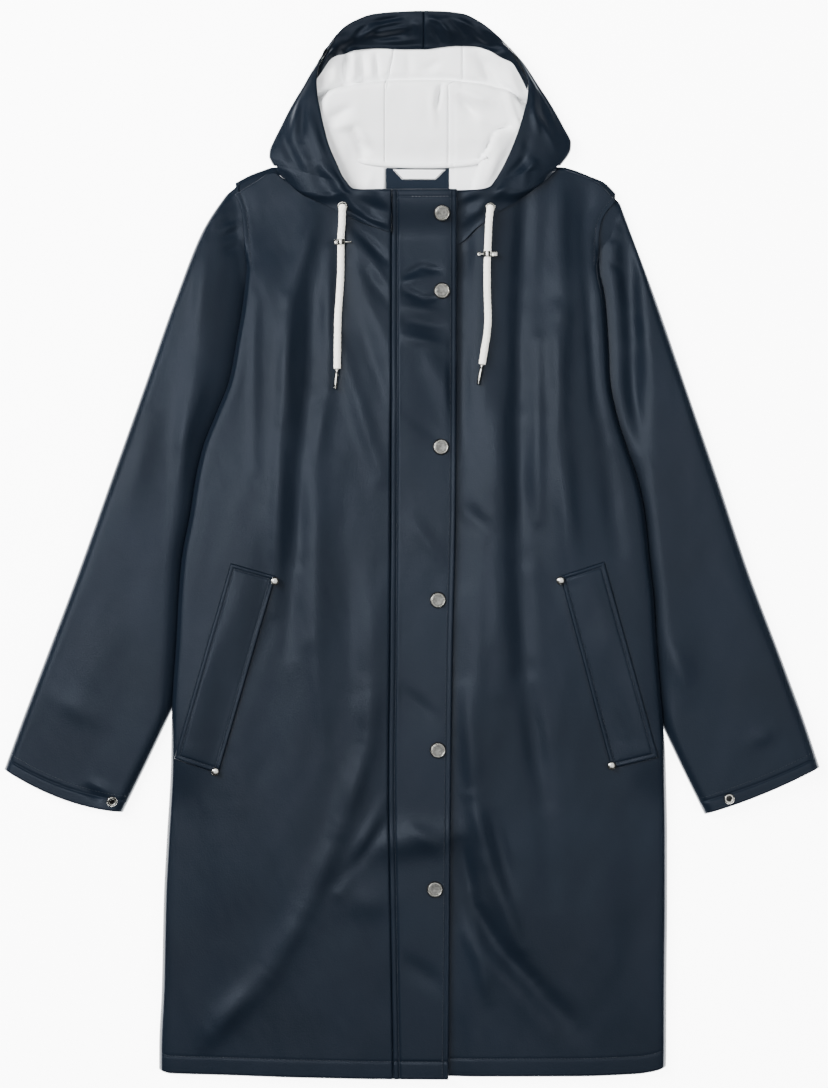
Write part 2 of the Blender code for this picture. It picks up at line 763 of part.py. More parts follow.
def make_hood_side(name, hood_rows, side, height):
    """Half of the hood: the upper leaf from the rim to the side, the turn at the side, and the leaf below."""
    over = 5
    turn = len(TURN_INSETS) - 1
    below = LEAF_COLUMNS
    columns = over + turn + below
    rows = 2 * (len(hood_rows) - 1)
    lines = hood_lines(hood_rows)

    def kept(left_column, top_row):
        return top_row < 2 * SHOULDER_ROW or left_column < over

    def place(across, down):
        row = down / 2
        part = {name: line(row) for name, line in lines.items()}
        reach_x = part["side_x"] - part["rim_x"]
        reach_y = part["side_y"] - part["rim_y"]
        length = np.hypot(reach_x, reach_y)
        collar = ease(row, SHOULDER_ROW, SHOULDER_ROW + 1)
        inset = np.minimum(TURN_INSETS[0] / length, 0.5) * (1 - collar)
        leaf = np.clip(across / over, 0, 1) * (1 - inset)
        x = part["rim_x"] + reach_x * leaf
        y = part["rim_y"] + reach_y * leaf
        on_seam = (across >= over) & (row > SHOULDER_ROW)
        y = np.where(on_seam, front_top(x) + SEAM_LAP, y)
        side_z = mix(SIDE_HEIGHT, RIM_RISE + 4.0, 1 - ease(row, 0, 1.6))
        edge_x = part["rim_x"] + reach_x * (1 - inset)
        edge_y = np.maximum(part["rim_y"] + reach_y * (1 - inset), front_top(edge_x))
        edge_z = mix(side_z, height(edge_x, edge_y), ease(row, SHOULDER_ROW - 1.5, SHOULDER_ROW))
        dome = edge_z + (part["rim_z"] - edge_z) * (1 - leaf**2)
        z = mix(dome, height(x, y), ease(row, SHOULDER_ROW + 0.8, SHOULDER_ROW + 2.8))
        low_z = hood_floor(part["side_x"], part["side_y"], row, 0.0)
        for k in range(1, turn + 1):
            here = across == over + k
            x = np.where(here, part["side_x"] + side * TURN_INSETS[k], x)
            y = np.where(here, part["side_y"], y)
            z = np.where(here, mix(low_z, side_z, TURN_HEIGHTS[k]), z)
        share = np.clip((across - over - turn) / below, 0, 1)
        low = lower_leaf(hood_rows, lines, side, row, share)
        is_low = across > over + turn
        return tuple(np.where(is_low, below_it, above) for below_it, above in zip(low, (x, y, z)))

    bm = sheet_grid(columns, rows, place, kept)
    low = [face for face in bm.faces if face.calc_center_median().z < 1.0 * MM]
    if sum(face.normal.z for face in low) > 0:
        bmesh.ops.reverse_faces(bm, faces=bm.faces)
    obj = object_from(name, bm, "coated_cloth")
    thicken(obj, CLOTH, inward=True)
    return obj


def hood_middle(row, share):
    """A place on the hood's middle panel, from its right seam (share 0) to its left seam (share 1)."""
    right = {name: line(row) for name, line in hood_lines(HOOD_RIGHT_ROWS).items()}
    left = {name: line(row) for name, line in hood_lines(HOOD_LEFT_ROWS).items()}
    x = mix(right["seam_x"] + SEAM_GAP / 2, left["seam_x"] - SEAM_GAP / 2, share)
    y = mix(right["seam_y"], left["seam_y"], share)
    for end_row, line, strength in (
        (0, hood_top, 1 - ease(row, 0, 1)),
        (SHOULDER_ROW, lambda at: back_top(at) - SEAM_GAP, ease(row, SHOULDER_ROW - 2, SHOULDER_ROW)),
    ):
        right_end = HOOD_RIGHT_ROWS[end_row]
        left_end = HOOD_LEFT_ROWS[end_row]
        straight = mix(right_end.seam_y, left_end.seam_y, share)
        y = y + strength * (line(mix(right_end.seam_x, left_end.seam_x, share)) - straight)
    return x, y, hood_floor(x, y, row, np.full_like(x, 100.0))


def make_hood_centre():
    columns = MIDDLE_COLUMNS
    rows = 2 * SHOULDER_ROW

    def place(across, down):
        return hood_middle(down / 2, across / columns)

    bm = sheet_grid(columns, rows, place)
    face_up(bm, up=False)
    obj = object_from("hood_centre", bm, "coated_cloth")
    thicken(obj, CLOTH, inward=True)
    return obj


def make_hood_facing(name, hood_rows, side, seam_share):
    """Half of the facing inside the hood's upper edge, on the points of the lower leaf and of the middle panel."""
    first_middle = 0.0 if side > 0 else 1.0
    middle_step = side / MIDDLE_COLUMNS
    middle_count = round(abs(seam_share - first_middle) * MIDDLE_COLUMNS)
    middle_shares = [first_middle + k * middle_step for k in range(1, middle_count)]
    middle_shares.append(seam_share)
    columns = LEAF_COLUMNS + len(middle_shares)
    rows = 2 * FACING_ROWS
    lines = hood_lines(hood_rows)

    def place(across, down):
        row = down / 2
        x, y, z = lower_leaf(hood_rows, lines, side, row, np.clip(across / LEAF_COLUMNS, 0, 1))
        next_x, next_y, next_z = lower_leaf(hood_rows, lines, side, row, 1 / LEAF_COLUMNS)
        start_x = lines["rim_x"](row) + side * mix(2.5, -5.0, ease(row, 0.5, FACING_ROWS))
        step_x = np.where(across == 0, next_x - x, 1.0)
        start = np.where(across == 0, np.clip((start_x - x) / step_x, 0.05, 0.8), 0.0)
        x, y, z = mix(x, next_x, start), mix(y, next_y, start), mix(z, next_z, start)
        for k, share in enumerate(middle_shares, start=1):
            here = across == LEAF_COLUMNS + k
            on_panel = hood_middle(row, np.full_like(row, share))
            x, y, z = (np.where(here, b, a) for a, b in zip((x, y, z), on_panel))
        return x, y, z + CLOTH + FACING_LIFT

    bm = sheet_grid(columns, rows, place)
    face_up(bm)
    obj = object_from(name, bm, "dark_facing")
    thicken(obj, FACING_WALL, inward=False)
    return obj


def final_mesh(obj):
    """The object's mesh with its modifiers applied, in world space."""
    graph = bpy.context.evaluated_depsgraph_get()
    bm = bmesh.new()
    bm.from_mesh(bpy.data.meshes.new_from_object(obj.evaluated_get(graph)))
    bmesh.ops.transform(bm, matrix=obj.matrix_world, verts=bm.verts)
    return bm


def patch_on(name, carrier, outline, wall, finish_name):
    """A piece that lies on its carrier: the carrier's upper faces, cut to the outline and moved out."""
    bm = final_mesh(carrier)
    lower = [face for face in bm.faces if face.normal.z < 0.3]
    bmesh.ops.delete(bm, geom=lower, context="FACES")
    middle = sum((world(spot.x, spot.y, 0) for spot in outline), Vector()) / len(outline)
    for start, end in zip(outline, outline[1:] + outline[:1]):
        a = world(start.x, start.y, 0)
        b = world(end.x, end.y, 0)
        outward = (b - a).cross(Vector((0, 0, 1)))
        if outward.dot(middle - a) > 0:
            outward.negate()
        everything = bm.verts[:] + bm.edges[:] + bm.faces[:]
        bmesh.ops.bisect_plane(bm, geom=everything, plane_co=a, plane_no=outward, clear_outer=True)
    bmesh.ops.translate(bm, vec=Vector((0, 0, SEAM_GAP * MM)), verts=bm.verts)
    bmesh.ops.dissolve_degenerate(bm, dist=0.05 * MM, edges=bm.edges)
    face_up(bm)
    obj = object_from(name, bm, finish_name)
    thicken(obj, wall, inward=False)
    return obj


class Ground:
    """What small pieces rest on: the upper sides of some objects."""

    def __init__(self, objects):
        bm = bmesh.new()
        for obj in objects:
            piece = final_mesh(obj)
            mesh = bpy.data.meshes.new("ground")
            piece.to_mesh(mesh)
            piece.free()
            bm.from_mesh(mesh)
            bpy.data.meshes.remove(mesh)
        self.tree = BVHTree.FromBMesh(bm)
        bm.free()

    def height(self, x, y):
        """The highest point here. It looks a little up and down the coat as well, so it steps over a seam's gap."""
        found = [self.tree.ray_cast(world(x, y + step, 100), Vector((0, 0, -1))) for step in (-0.6, 0, 0.6)]
        return max([hit[0].z / MM for hit in found if hit[0]], default=0.0)

    def highest(self, x, y, radius):
        spots = [(x, y)]
        for k in range(12):
            angle = 2 * math.pi * k / 12
            for reach in (0.5 * radius, radius):
                spots.append((x + reach * math.cos(angle), y + reach * math.sin(angle)))
        return max(self.height(*spot) for spot in spots)

    def seat(self, x, y, radius, tilt=None):
        """The place and upward direction of a round piece that rests here, leaning as the ground named tilt does."""
        tilt = tilt or self
        east = tilt.height(x + radius, y)
        west = tilt.height(x - radius, y)
        north = tilt.height(x, y - radius)
        south = tilt.height(x, y + radius)
        up = Vector(((west - east) / (2 * radius), (south - north) / (2 * radius), 1.0)).normalized()
        centre = world(x, y, self.height(x, y))
        lift = 0.0
        for k in range(24):
            angle = 2 * math.pi * k / 24
            for reach in (0.5 * radius, radius):
                at_x = x + reach * math.cos(angle)
                at_y = y + reach * math.sin(angle)
                point = world(at_x, at_y, self.height(at_x, at_y))
                lift = max(lift, (point - centre).dot(up))
        return centre + up * (lift + SEAM_GAP * MM), up


def turned(name, profile, steps, finish_name):
    """A turned piece. profile holds (radius, height) pairs in millimetres, from the top down its outer side."""
    mesh = bpy.data.meshes.new(name)
    points = [(radius * MM, 0.0, height * MM) for radius, height in profile]
    mesh.from_pydata(points, [(k, k + 1) for k in range(len(points) - 1)], [])
    obj = bpy.data.objects.new(name, mesh)
    link(obj)
    finish(obj, finish_name)
    screw = obj.modifiers.new("turn", "SCREW")
    screw.steps = steps
    screw.render_steps = steps
    screw.use_merge_vertices = True
    screw.merge_threshold = 0.00001
    screw.use_smooth_shade = True
    return obj


def stand(obj, place, up):
    obj.location = place
    obj.rotation_euler = up.to_track_quat("Z", "Y").to_euler()


def make_snap(name, spot, ground):
    radius = SNAP_DIAMETER / 2
    profile = (
        (0.0, SNAP_HEIGHT - 0.5),
        (radius - 2.2, SNAP_HEIGHT - 0.5),
        (radius - 1.2, SNAP_HEIGHT),
        (radius, SNAP_HEIGHT - 0.9),
        (radius, 0.0),
        (0.0, 0.0),
    )
    obj = turned(name, profile, 18, "nickel")
    stand(obj, *ground.seat(spot.x, spot.y, radius))
    return obj


def make_rivet(name, spot, ground, tilt):
    radius = RIVET_DIAMETER / 2
    profile = (
        (0.0, RIVET_HEIGHT),
        (0.6 * radius, RIVET_HEIGHT * 0.82),
        (0.92 * radius, RIVET_HEIGHT * 0.4),
        (radius, 0.0),
        (0.0, 0.0),
    )
    obj = turned(name, profile, 14, "nickel")
    stand(obj, *ground.seat(spot.x, spot.y, radius, tilt))
    return obj


def make_cuff_snap(name, spot, ground):
    radius = CUFF_SNAP_DIAMETER / 2
    profile = (
        (0.0, 0.6),
        (radius - 3.0, 0.6),
        (radius - 2.2, 2.0),
        (radius - 0.7, 2.0),
        (radius, 1.0),
        (radius, 0.0),
        (0.0, 0.0),
    )
    obj = turned(name, profile, 16, "nickel")
    stand(obj, *ground.seat(spot.x, spot.y, radius))
    return obj


def make_eyelet(name, spot, ground):
    outer = EYELET_DIAMETER / 2
    hole = EYELET_HOLE / 2
    profile = (
        (hole, 0.5),
        (hole + 0.8, EYELET_HEIGHT),
        (outer - 0.8, EYELET_HEIGHT),
        (outer, 0.0),
        (hole, 0.0),
        (hole, 0.5),
    )
    obj = turned(name, profile, 18, "nickel")
    stand(obj, *ground.seat(spot.x, spot.y, outer))
    return obj


def route_line(route):
    """The route as a smooth curve of distance, with its whole length."""
    steps = [math.hypot(b.x - a.x, b.y - a.y) for a, b in zip(route, route[1:])]
    along = np.concatenate([[0.0], np.cumsum(steps)])
    return smooth_line(along, [s.x for s in route]), smooth_line(along, [s.y for s in route]), along[-1]


def cord_points(route, clip_y, ground):
    """Points along a cord that rests on the coat, a little higher at its clip."""
    line_x, line_y, length = route_line(route)
    count = int(length / CORD_STEP) + 1
    radius = CORD_DIAMETER / 2
    points = []
    for along in np.linspace(0, length, count):
        x = float(line_x(along))
        y = float(line_y(along))
        near = [ground.highest(x, y + ahead, radius) for ahead in (-6, 0, 6)]
        clip_room = CLIP_WALL * (1 - ease(abs(y - clip_y), 8, 26))
        points.append([x, y, max(near) + radius + 2 * SEAM_GAP + clip_room])
    heights = [point[2] for point in points]
    for k in range(1, count - 1):
        points[k][2] = max(heights[k], (heights[k - 1] + heights[k + 1]) / 2)
    return [world(*point) for point in points]


def make_cord(name, points):
    curve = bpy.data.curves.new(name, "CURVE")
    curve.dimensions = "3D"
    curve.bevel_depth = CORD_DIAMETER / 2 * MM
    curve.bevel_resolution = 2
    curve.use_fill_caps = True
    spline = curve.splines.new("POLY")
    spline.points.add(len(points) - 1)
    for point, place in zip(spline.points, points):
        point.co = (*place, 1.0)
    obj = bpy.data.objects.new(name, curve)
    link(obj)
    finish(obj, "cotton_cord")
    return obj


def point_at(points, y):
    """The place and direction of the cord where it crosses this y."""
    target = world(0, y, 0).y
    for a, b in zip(points, points[1:]):
        if a.y >= target >= b.y:
            return a.lerp(b, (a.y - target) / (a.y - b.y)), (b - a).normalized()
    raise ValueError("the cord does not reach this place")


def make_clip(name, points, y, reach_left, reach_right):
    """A metal stop: a band round the cord with a flat bar on either side of it."""
    centre, along = point_at(points, y)
    inner = CORD_DIAMETER / 2 + SEAM_GAP
    half = CLIP_LENGTH / 2
    profile = (
        (inner, half),
        (inner + CLIP_WALL, half - 0.3),
        (inner + CLIP_WALL, -half + 0.3),
        (inner, -half),
        (inner, half),
    )
    band = turned(name, profile, 16, "nickel")
    stand(band, centre, along)
    bpy.context.view_layer.update()
    bm = final_mesh(band)
    mesh = bpy.data.meshes.new(name)
    bm.to_mesh(mesh)
    bm.free()
    old = band.data
    material = old.materials[0]
    bpy.data.objects.remove(band)
    mesh.materials.clear()
    mesh.materials.append(material)
    obj = bpy.data.objects.new(name, mesh)
    link(obj)
    for side, reach in ((-1, reach_left), (1, reach_right)):
        bar = bmesh.new()
        start = inner + 0.35
        width = reach - start
        bmesh.ops.create_cube(bar, size=1.0)
        bmesh.ops.scale(bar, vec=Vector((width * MM, 4.6 * MM, 1.8 * MM)), verts=bar.verts)
        middle = centre + Vector((side * (start + width / 2) * MM, 0, 0))
        bmesh.ops.translate(bar, vec=middle, verts=bar.verts)
        bar_mesh = bpy.data.meshes.new("clip_bar")
        bar.to_mesh(bar_mesh)
        bar.free()
        cutter = bpy.data.objects.new(f"{name}_bar_{side}", bar_mesh)
        bpy.data.collections["guides"].objects.link(cutter)
        cutter.hide_render = True
        cutter.display_type = "WIRE"
        union = obj.modifiers.new("bar", "BOOLEAN")
        union.operation = "UNION"
        union.object = cutter
    return obj


def make_tip(name, points, end, ground):
    """The dipped end of a cord, in line with it and resting on the coat."""
    along = (points[-1] - points[-2]).normalized()
    start = points[-1] + along * SEAM_GAP * MM
    far = world(end.x, end.y, ground.highest(end.x, end.y, 3.0) + TIP_DIAMETER / 2 + SEAM_GAP)
    middle_y = (start.y + far.y) / 2
    sheet_x = (start.x + far.x) / 2 / MM + SHEET_CENTRE_X
    sheet_y = SHEET_CENTRE_Y - middle_y / MM
    need = (ground.highest(sheet_x, sheet_y, 5.0) + TIP_DIAMETER / 2 + SEAM_GAP) * MM
    far.z += max(0.0, 2 * (need - (start.z + far.z) / 2))
    direction = (far - start).normalized()
    bm = bmesh.new()
    bmesh.ops.create_cone(
        bm,
        cap_ends=True,
        segments=12,
        radius1=TIP_DIAMETER / 2 * MM,
        radius2=TIP_DIAMETER / 2 * 0.9 * MM,
        depth=TIP_LENGTH * MM,
    )
    obj = object_from(name, bm, "nickel")
    tilt_room = 0.25 * MM
    stand(obj, start + direction * (TIP_LENGTH / 2 * MM + tilt_room), direction)
    return obj


def clear_scene():
    for obj in list(bpy.data.objects):
        bpy.data.objects.remove(obj)
    for name in ("hooded_raincoat", "guides"):
        collection = bpy.data.collections.new(name)
        bpy.context.scene.collection.children.link(collection)
    bpy.data.collections["guides"].hide_render = True


def make_cloth():
    back = make_back_panel()
    fronts = make_fronts()
    placket = make_placket()
    make_sleeve("sleeve_right", SLEEVE_RIGHT_ROWS, ARMHOLE_RIGHT, body_left, 1)
    make_sleeve("sleeve_left", SLEEVE_LEFT_ROWS, ARMHOLE_LEFT, body_right, -1)
    make_hood_side("hood_side_right", HOOD_RIGHT_ROWS, 1, on_front(front_height))
    make_hood_side("hood_side_left", HOOD_LEFT_ROWS, -1, on_front(left_front_height))
    make_hood_centre()
    make_hood_facing("hood_facing_right", HOOD_RIGHT_ROWS, 1, FACING_SEAM_SHARE - FACING_SEAM_HALF)
    make_hood_facing("hood_facing_left", HOOD_LEFT_ROWS, -1, FACING_SEAM_SHARE + FACING_SEAM_HALF)
    bpy.context.view_layer.update()
    neck = patch_on("back_neck_facing", back, NECK_PATCH, FACING_WALL, "dark_facing")
    patch_on("pocket_welt_right", fronts[0], WELT_RIGHT, WELT_WALL, "coated_cloth")
    patch_on("pocket_welt_left", fronts[1], WELT_LEFT, WELT_WALL, "coated_cloth")
    bpy.context.view_layer.update()
    patch_on("label", neck, LABEL_PATCH, LABEL_WALL, "label_tape")
    return placket


def make_fittings(placket):
    placket_ground = Ground([placket])
    for number, spot in enumerate(SNAPS, start=1):
        make_snap(f"snap_{number}", spot, placket_ground)
    for side in ("right", "left"):
        front = bpy.data.objects[f"front_{side}"]
        cloth = Ground([front])
        pocket = Ground([front, bpy.data.objects[f"pocket_welt_{side}"]])
        for end, spot in RIVETS[side].items():
            make_rivet(f"rivet_{side}_{end}", spot, pocket, cloth)
        sleeve = Ground([bpy.data.objects[f"sleeve_{side}"]])
        make_cuff_snap(f"cuff_snap_{side}", CUFF_SNAPS[side], sleeve)
        collar = Ground([front, bpy.data.objects[f"hood_side_{side}"]])
        make_eyelet(f"eyelet_{side}", EYELETS[side], collar)
    bpy.context.view_layer.update()


def make_drawstring():
    for side, route, clip_y, reach, tip_end in (
        ("right", CORD_RIGHT_ROUTE, CLIP_RIGHT_Y, (6.5, 6.5), TIP_RIGHT_END),
        ("left", CORD_LEFT_ROUTE, CLIP_LEFT_Y, (10.5, 10.0), TIP_LEFT_END),
    ):
        under = [bpy.data.objects[f"{name}_{side}"] for name in ("front", "hood_side", "eyelet")]
        ground = Ground(under)
        points = cord_points(route, clip_y, ground)
        make_cord(f"cord_{side}", points)
        make_clip(f"cord_clip_{side}", points, clip_y, *reach)
        make_tip(f"cord_tip_{side}", points, tip_end, ground)


def main():
    clear_scene()
    placket = make_cloth()
    make_fittings(placket)
    make_drawstring()


main()
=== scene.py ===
"""A hooded raincoat laid flat on its back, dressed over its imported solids.

The file is laid out as an add-on and is run as a script. Places are millimetres on a laying-out sheet:
x to the right, y down the coat and z above the floor. "Right" and "left" are the wearer's, so the right
front is on the sheet's left.
"""

import math
from collections import namedtuple

import bmesh
import bpy
import numpy as np
from bpy.props import FloatProperty, FloatVectorProperty, IntProperty, PointerProperty
from mathutils import Matrix, Vector
from mathutils.bvhtree import BVHTree

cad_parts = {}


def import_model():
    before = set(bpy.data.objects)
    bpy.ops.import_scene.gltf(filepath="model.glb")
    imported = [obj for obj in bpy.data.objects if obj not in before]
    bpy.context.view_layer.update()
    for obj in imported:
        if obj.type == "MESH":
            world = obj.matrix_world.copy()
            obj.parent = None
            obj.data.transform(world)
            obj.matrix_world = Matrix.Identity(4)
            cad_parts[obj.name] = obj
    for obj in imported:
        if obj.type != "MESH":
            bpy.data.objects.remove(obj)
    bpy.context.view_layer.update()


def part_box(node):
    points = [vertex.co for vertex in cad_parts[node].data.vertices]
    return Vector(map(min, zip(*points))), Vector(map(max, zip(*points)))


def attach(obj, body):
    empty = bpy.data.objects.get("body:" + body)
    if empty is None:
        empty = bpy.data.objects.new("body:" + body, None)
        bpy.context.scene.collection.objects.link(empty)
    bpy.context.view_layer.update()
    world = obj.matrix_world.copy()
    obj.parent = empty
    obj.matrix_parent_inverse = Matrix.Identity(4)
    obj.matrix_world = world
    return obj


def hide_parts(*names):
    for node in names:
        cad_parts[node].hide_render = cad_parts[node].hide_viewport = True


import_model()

bl_info = {
    "name": "Hooded raincoat",
    "version": (1, 0, 0),
    "blender": (4, 5, 0),
    "location": "View3D > Sidebar > Raincoat",
    "description": "Makes a hooded raincoat laid flat, piece by piece, around its solids",
    "category": "Add Mesh",
}

MM = 0.001
RAY_START = 100.0
DOWN = Vector((0, 0, -1))
THREAD_WIDTH = 0.6
STITCH_RISE = 0.05
# Between these values of a noise a tone runs from dark to light
TONE_LOW = 0.3
TONE_HIGH = 0.7
SHEET_CENTRE_X = 412.0
SHEET_CENTRE_Y = 545.2

# The solids' own sizes
CLOTH = 1.4
PLACKET_WALL = 1.8
SEAM_GAP = 0.3
LAP = 2.7
COLLAR_LAP = 2.2
COLLAR_GAP = 0.9
SEAM_LAP = 2.0
LAP_GAP = 0.45
SLEEVE_FLAT = 4.0
SLEEVE_PUFF = 9.0
BACK_LIFT = 4.9
FRONT_PUFF = 5.5
FRONT_CROWN = 3.0
SIDE_ROUND = 14.0
COLLAR_RISE = 8.0
RIM_RISE = 12.0
RIDGE_RISE = 12.0
TURN_INSET = 4.0
SIDE_HEIGHT = 11.0
SHOULDER_ROW = 10


def named_rows(kind, values):
    """Rows of this kind, made from bare tuples."""
    return tuple(kind(*value) for value in values)


EdgeRow = namedtuple("EdgeRow", "y left right")
BODY_EDGES = named_rows(EdgeRow, (
    (160, 235, 616), (194, 235, 616), (201, 238, 615), (212, 241.6, 606.5), (222, 242.8, 601.5),
    (240, 244, 599.2), (265, 246, 599.4), (300, 243, 605), (340, 236.5, 608), (380, 229, 610),
    (416, 215, 617), (446, 203, 626.5), (480, 195, 638), (513, 190, 644.8), (562, 181, 650),
    (600, 178, 654.3), (639, 176, 656.5), (712, 171.5, 662.5), (760, 170.6, 666), (840, 166, 668),
    (900, 163, 668), (990, 161, 667.2), (1050, 158.4, 667), (1080, 158.4, 666.4),
))

TuckRow = namedtuple("TuckRow", "y left right")
SLEEVE_UNDER_BODY = named_rows(TuckRow, (
    (250, 0, 0), (300, 16, 17), (345, 34, 36), (385, 41, 37), (425, 58, 52), (480, 69, 66), (545, 62, 57),
    (630, 37, 34), (705, 9, 9), (740, 0, 0),
))

CurveRow = namedtuple("CurveRow", "x y")
FRONT_TOP = named_rows(CurveRow, (
    (235, 194), (254, 182.5), (273, 172), (284, 177.5), (301, 192), (323, 202), (337, 209), (365, 222),
    (392, 232), (404, 242), (430, 243), (457, 242), (478, 225), (499, 210), (516, 200), (541, 182),
    (559, 169), (580, 174.5), (598.6, 183), (616, 201),
))
BACK_TOP = named_rows(CurveRow, (
    (235, 181.5), (250, 173.5), (264, 168.3), (273, 165.6), (360, 166.5), (412, 167.6), (470, 166.8),
    (561, 165.4), (574, 168.3), (590, 174.5), (604, 180.5), (616, 192),
))
HEM_RIGHT = named_rows(CurveRow, (
    (158, 1070.5), (170, 1074), (229, 1075.7), (307, 1078), (393, 1079.4), (450, 1079.4),
))
HEM_LEFT = named_rows(CurveRow, (
    (390, 1076), (478, 1076.7), (577, 1076.7), (636, 1074.7), (655, 1071.8), (667, 1067.5),
))
HOOD_TOP = named_rows(CurveRow, (
    (331, 42), (339, 32), (346, 26), (356, 20), (372, 14.3), (398, 11.8), (424, 11), (442, 11.4), (464, 14),
    (477, 20), (487, 26.5), (494, 32), (504, 41.5),
))
HOOD_RIDGE = named_rows(CurveRow, (
    (300, 108), (321, 101), (330, 94), (345, 90), (365, 86.5), (385, 84.5), (410, 83.5), (440, 83.5),
    (470, 86), (495, 90), (510, 95), (522, 106), (545, 112),
))

PlacketRow = namedtuple("PlacketRow", "y seam under edge")
PLACKET_EDGES = named_rows(PlacketRow, (
    (190, 391.5, 403, 457), (240, 391.5, 403, 457), (500, 391, 401, 456), (660, 390, 398, 452.5),
    (780, 388.7, 396.5, 451), (930, 391, 399, 449.8), (1080, 393.6, 401, 448.5),
))
PLACKET_TOP = 190.0
PLACKET_END = 1079.4

Fold = namedtuple("Fold", "x0 y0 x1 y1 height width")
FRONT_FOLDS = named_rows(Fold, (
    (254, 245, 254, 470, 1, 6), (315, 212, 291, 300, 2.2, 10), (303, 196, 294, 310, 2.4, 22),
    (290, 300, 283, 420, 2.4, 8), (282, 420, 275, 610, 2, 8), (311, 290, 309, 380, -2.1, 8),
    (308, 380, 300, 460, -2.6, 9), (299, 460, 296, 560, -2.5, 9), (295, 560, 288, 650, -1.5, 10),
    (329, 250, 328, 390, 2.1, 7), (327, 390, 319, 450, 1.9, 8), (318, 450, 315, 640, 1.8, 11),
    (314, 640, 326, 760, 1, 9), (398, 285, 402, 450, 4, 30), (348, 222, 366, 268, 2.3, 13),
    (341, 345, 381, 478, 1.9, 9), (354, 268, 389, 352, 1.1, 9), (362, 330, 391, 415, -1.1, 8),
    (374, 585, 372, 690, 1.8, 16), (372, 690, 368, 745, 2.4, 12), (368, 745, 340, 828, 2.9, 11),
    (340, 828, 308, 905, 2.5, 11), (308, 905, 270, 972, 2.4, 12), (270, 972, 214, 1030, 2.5, 14),
    (384, 800, 340, 892, 1.5, 7), (374, 846, 452, 834, 2.8, 15), (352, 905, 392, 898, 1.5, 16),
    (245, 620, 238, 800, 1.5, 24), (232, 800, 226, 940, 1.1, 24), (500, 385, 499, 520, 3, 16),
    (496, 520, 501, 690, 2.2, 13), (526, 190, 520, 300, -2.8, 9), (520, 300, 519, 400, -2.5, 9),
    (519, 400, 519, 560, -3.2, 10), (519, 560, 525, 670, -2.6, 10), (525, 670, 544, 800, -2.1, 10),
    (544, 800, 552, 900, -1.1, 11), (562, 184, 557, 310, 2.6, 10), (538, 340, 538, 520, 1.2, 6),
    (557, 310, 560, 420, 2.1, 9), (560, 420, 572, 570, 1.9, 10), (586, 190, 593, 340, -2.4, 9),
    (594, 340, 604, 440, -1.9, 8), (604, 440, 617, 550, -1.4, 9), (464, 222, 462, 330, -2.5, 9),
    (462, 330, 462, 450, -2, 8), (459, 505, 492, 533, -1.1, 9), (466, 690, 473, 790, 1.8, 9),
    (474, 800, 488, 860, 2.4, 9), (488, 860, 519, 945, 2.4, 10), (462, 845, 473, 905, -2.8, 8),
    (473, 905, 494, 942, -3, 9), (494, 942, 533, 985, -3, 10), (533, 985, 574, 1030, -2.5, 12),
    (466, 935, 500, 978, 1.2, 9), (500, 978, 548, 1026, 0.6, 12), (604, 800, 608, 1010, 1.2, 22),
))
SLEEVE_FOLDS = named_rows(Fold, (
    (213, 246, 200, 340, 2.2, 13), (200, 340, 186, 440, 2.4, 13), (186, 440, 172, 560, 0.9, 8),
    (150, 430, 120, 560, 0.6, 18), (120, 620, 60, 740, 0.6, 20), (640, 262, 668, 380, 1.2, 13),
    (628, 232, 631, 330, -5.6, 12), (631, 330, 633, 440, -5.4, 12), (661, 640, 689, 690, 2.4, 15),
    (690, 430, 735, 580, 0.7, 18), (690, 590, 730, 700, -0.7, 17),
))

SleeveRow = namedtuple("SleeveRow", "outer_x outer_y inner_x inner_y")
SLEEVE_RIGHT_ROWS = named_rows(SleeveRow, (
    (234, 182.5, 268, 340), (203, 228, 266, 385), (174, 300, 268, 425), (142.2, 390, 262, 480),
    (110, 480, 243, 545), (78, 570, 211, 628), (44, 660, 175.5, 702), (21.3, 720, 149.5, 757),
    (3.4, 769, 122.5, 812.5),
))
SLEEVE_LEFT_ROWS = named_rows(SleeveRow, (
    (617.4, 194, 574, 345), (630, 228, 576, 388), (657, 300, 572, 430), (688, 390, 575, 485),
    (719, 480, 594, 548), (749, 570, 623, 630), (783, 660, 656.5, 712), (805, 720, 678.5, 760),
    (820.6, 767, 705, 814.5),
))
ArmholeRow = namedtuple("ArmholeRow", "share x y")
ARMHOLE_RIGHT = named_rows(ArmholeRow, (
    (0, 234, 182.5), (0.075, 234.2, 194), (0.17, 240, 210), (0.28, 242.2, 226), (0.4, 243.6, 246),
    (0.54, 245.4, 266), (0.75, 254, 300), (1, 268, 340),
))
ARMHOLE_LEFT = named_rows(ArmholeRow, (
    (0, 617.4, 194), (0.075, 617, 202), (0.17, 607.4, 213), (0.28, 602, 226), (0.4, 600.2, 244),
    (0.54, 600, 266), (0.75, 590, 302), (1, 574, 345),
))

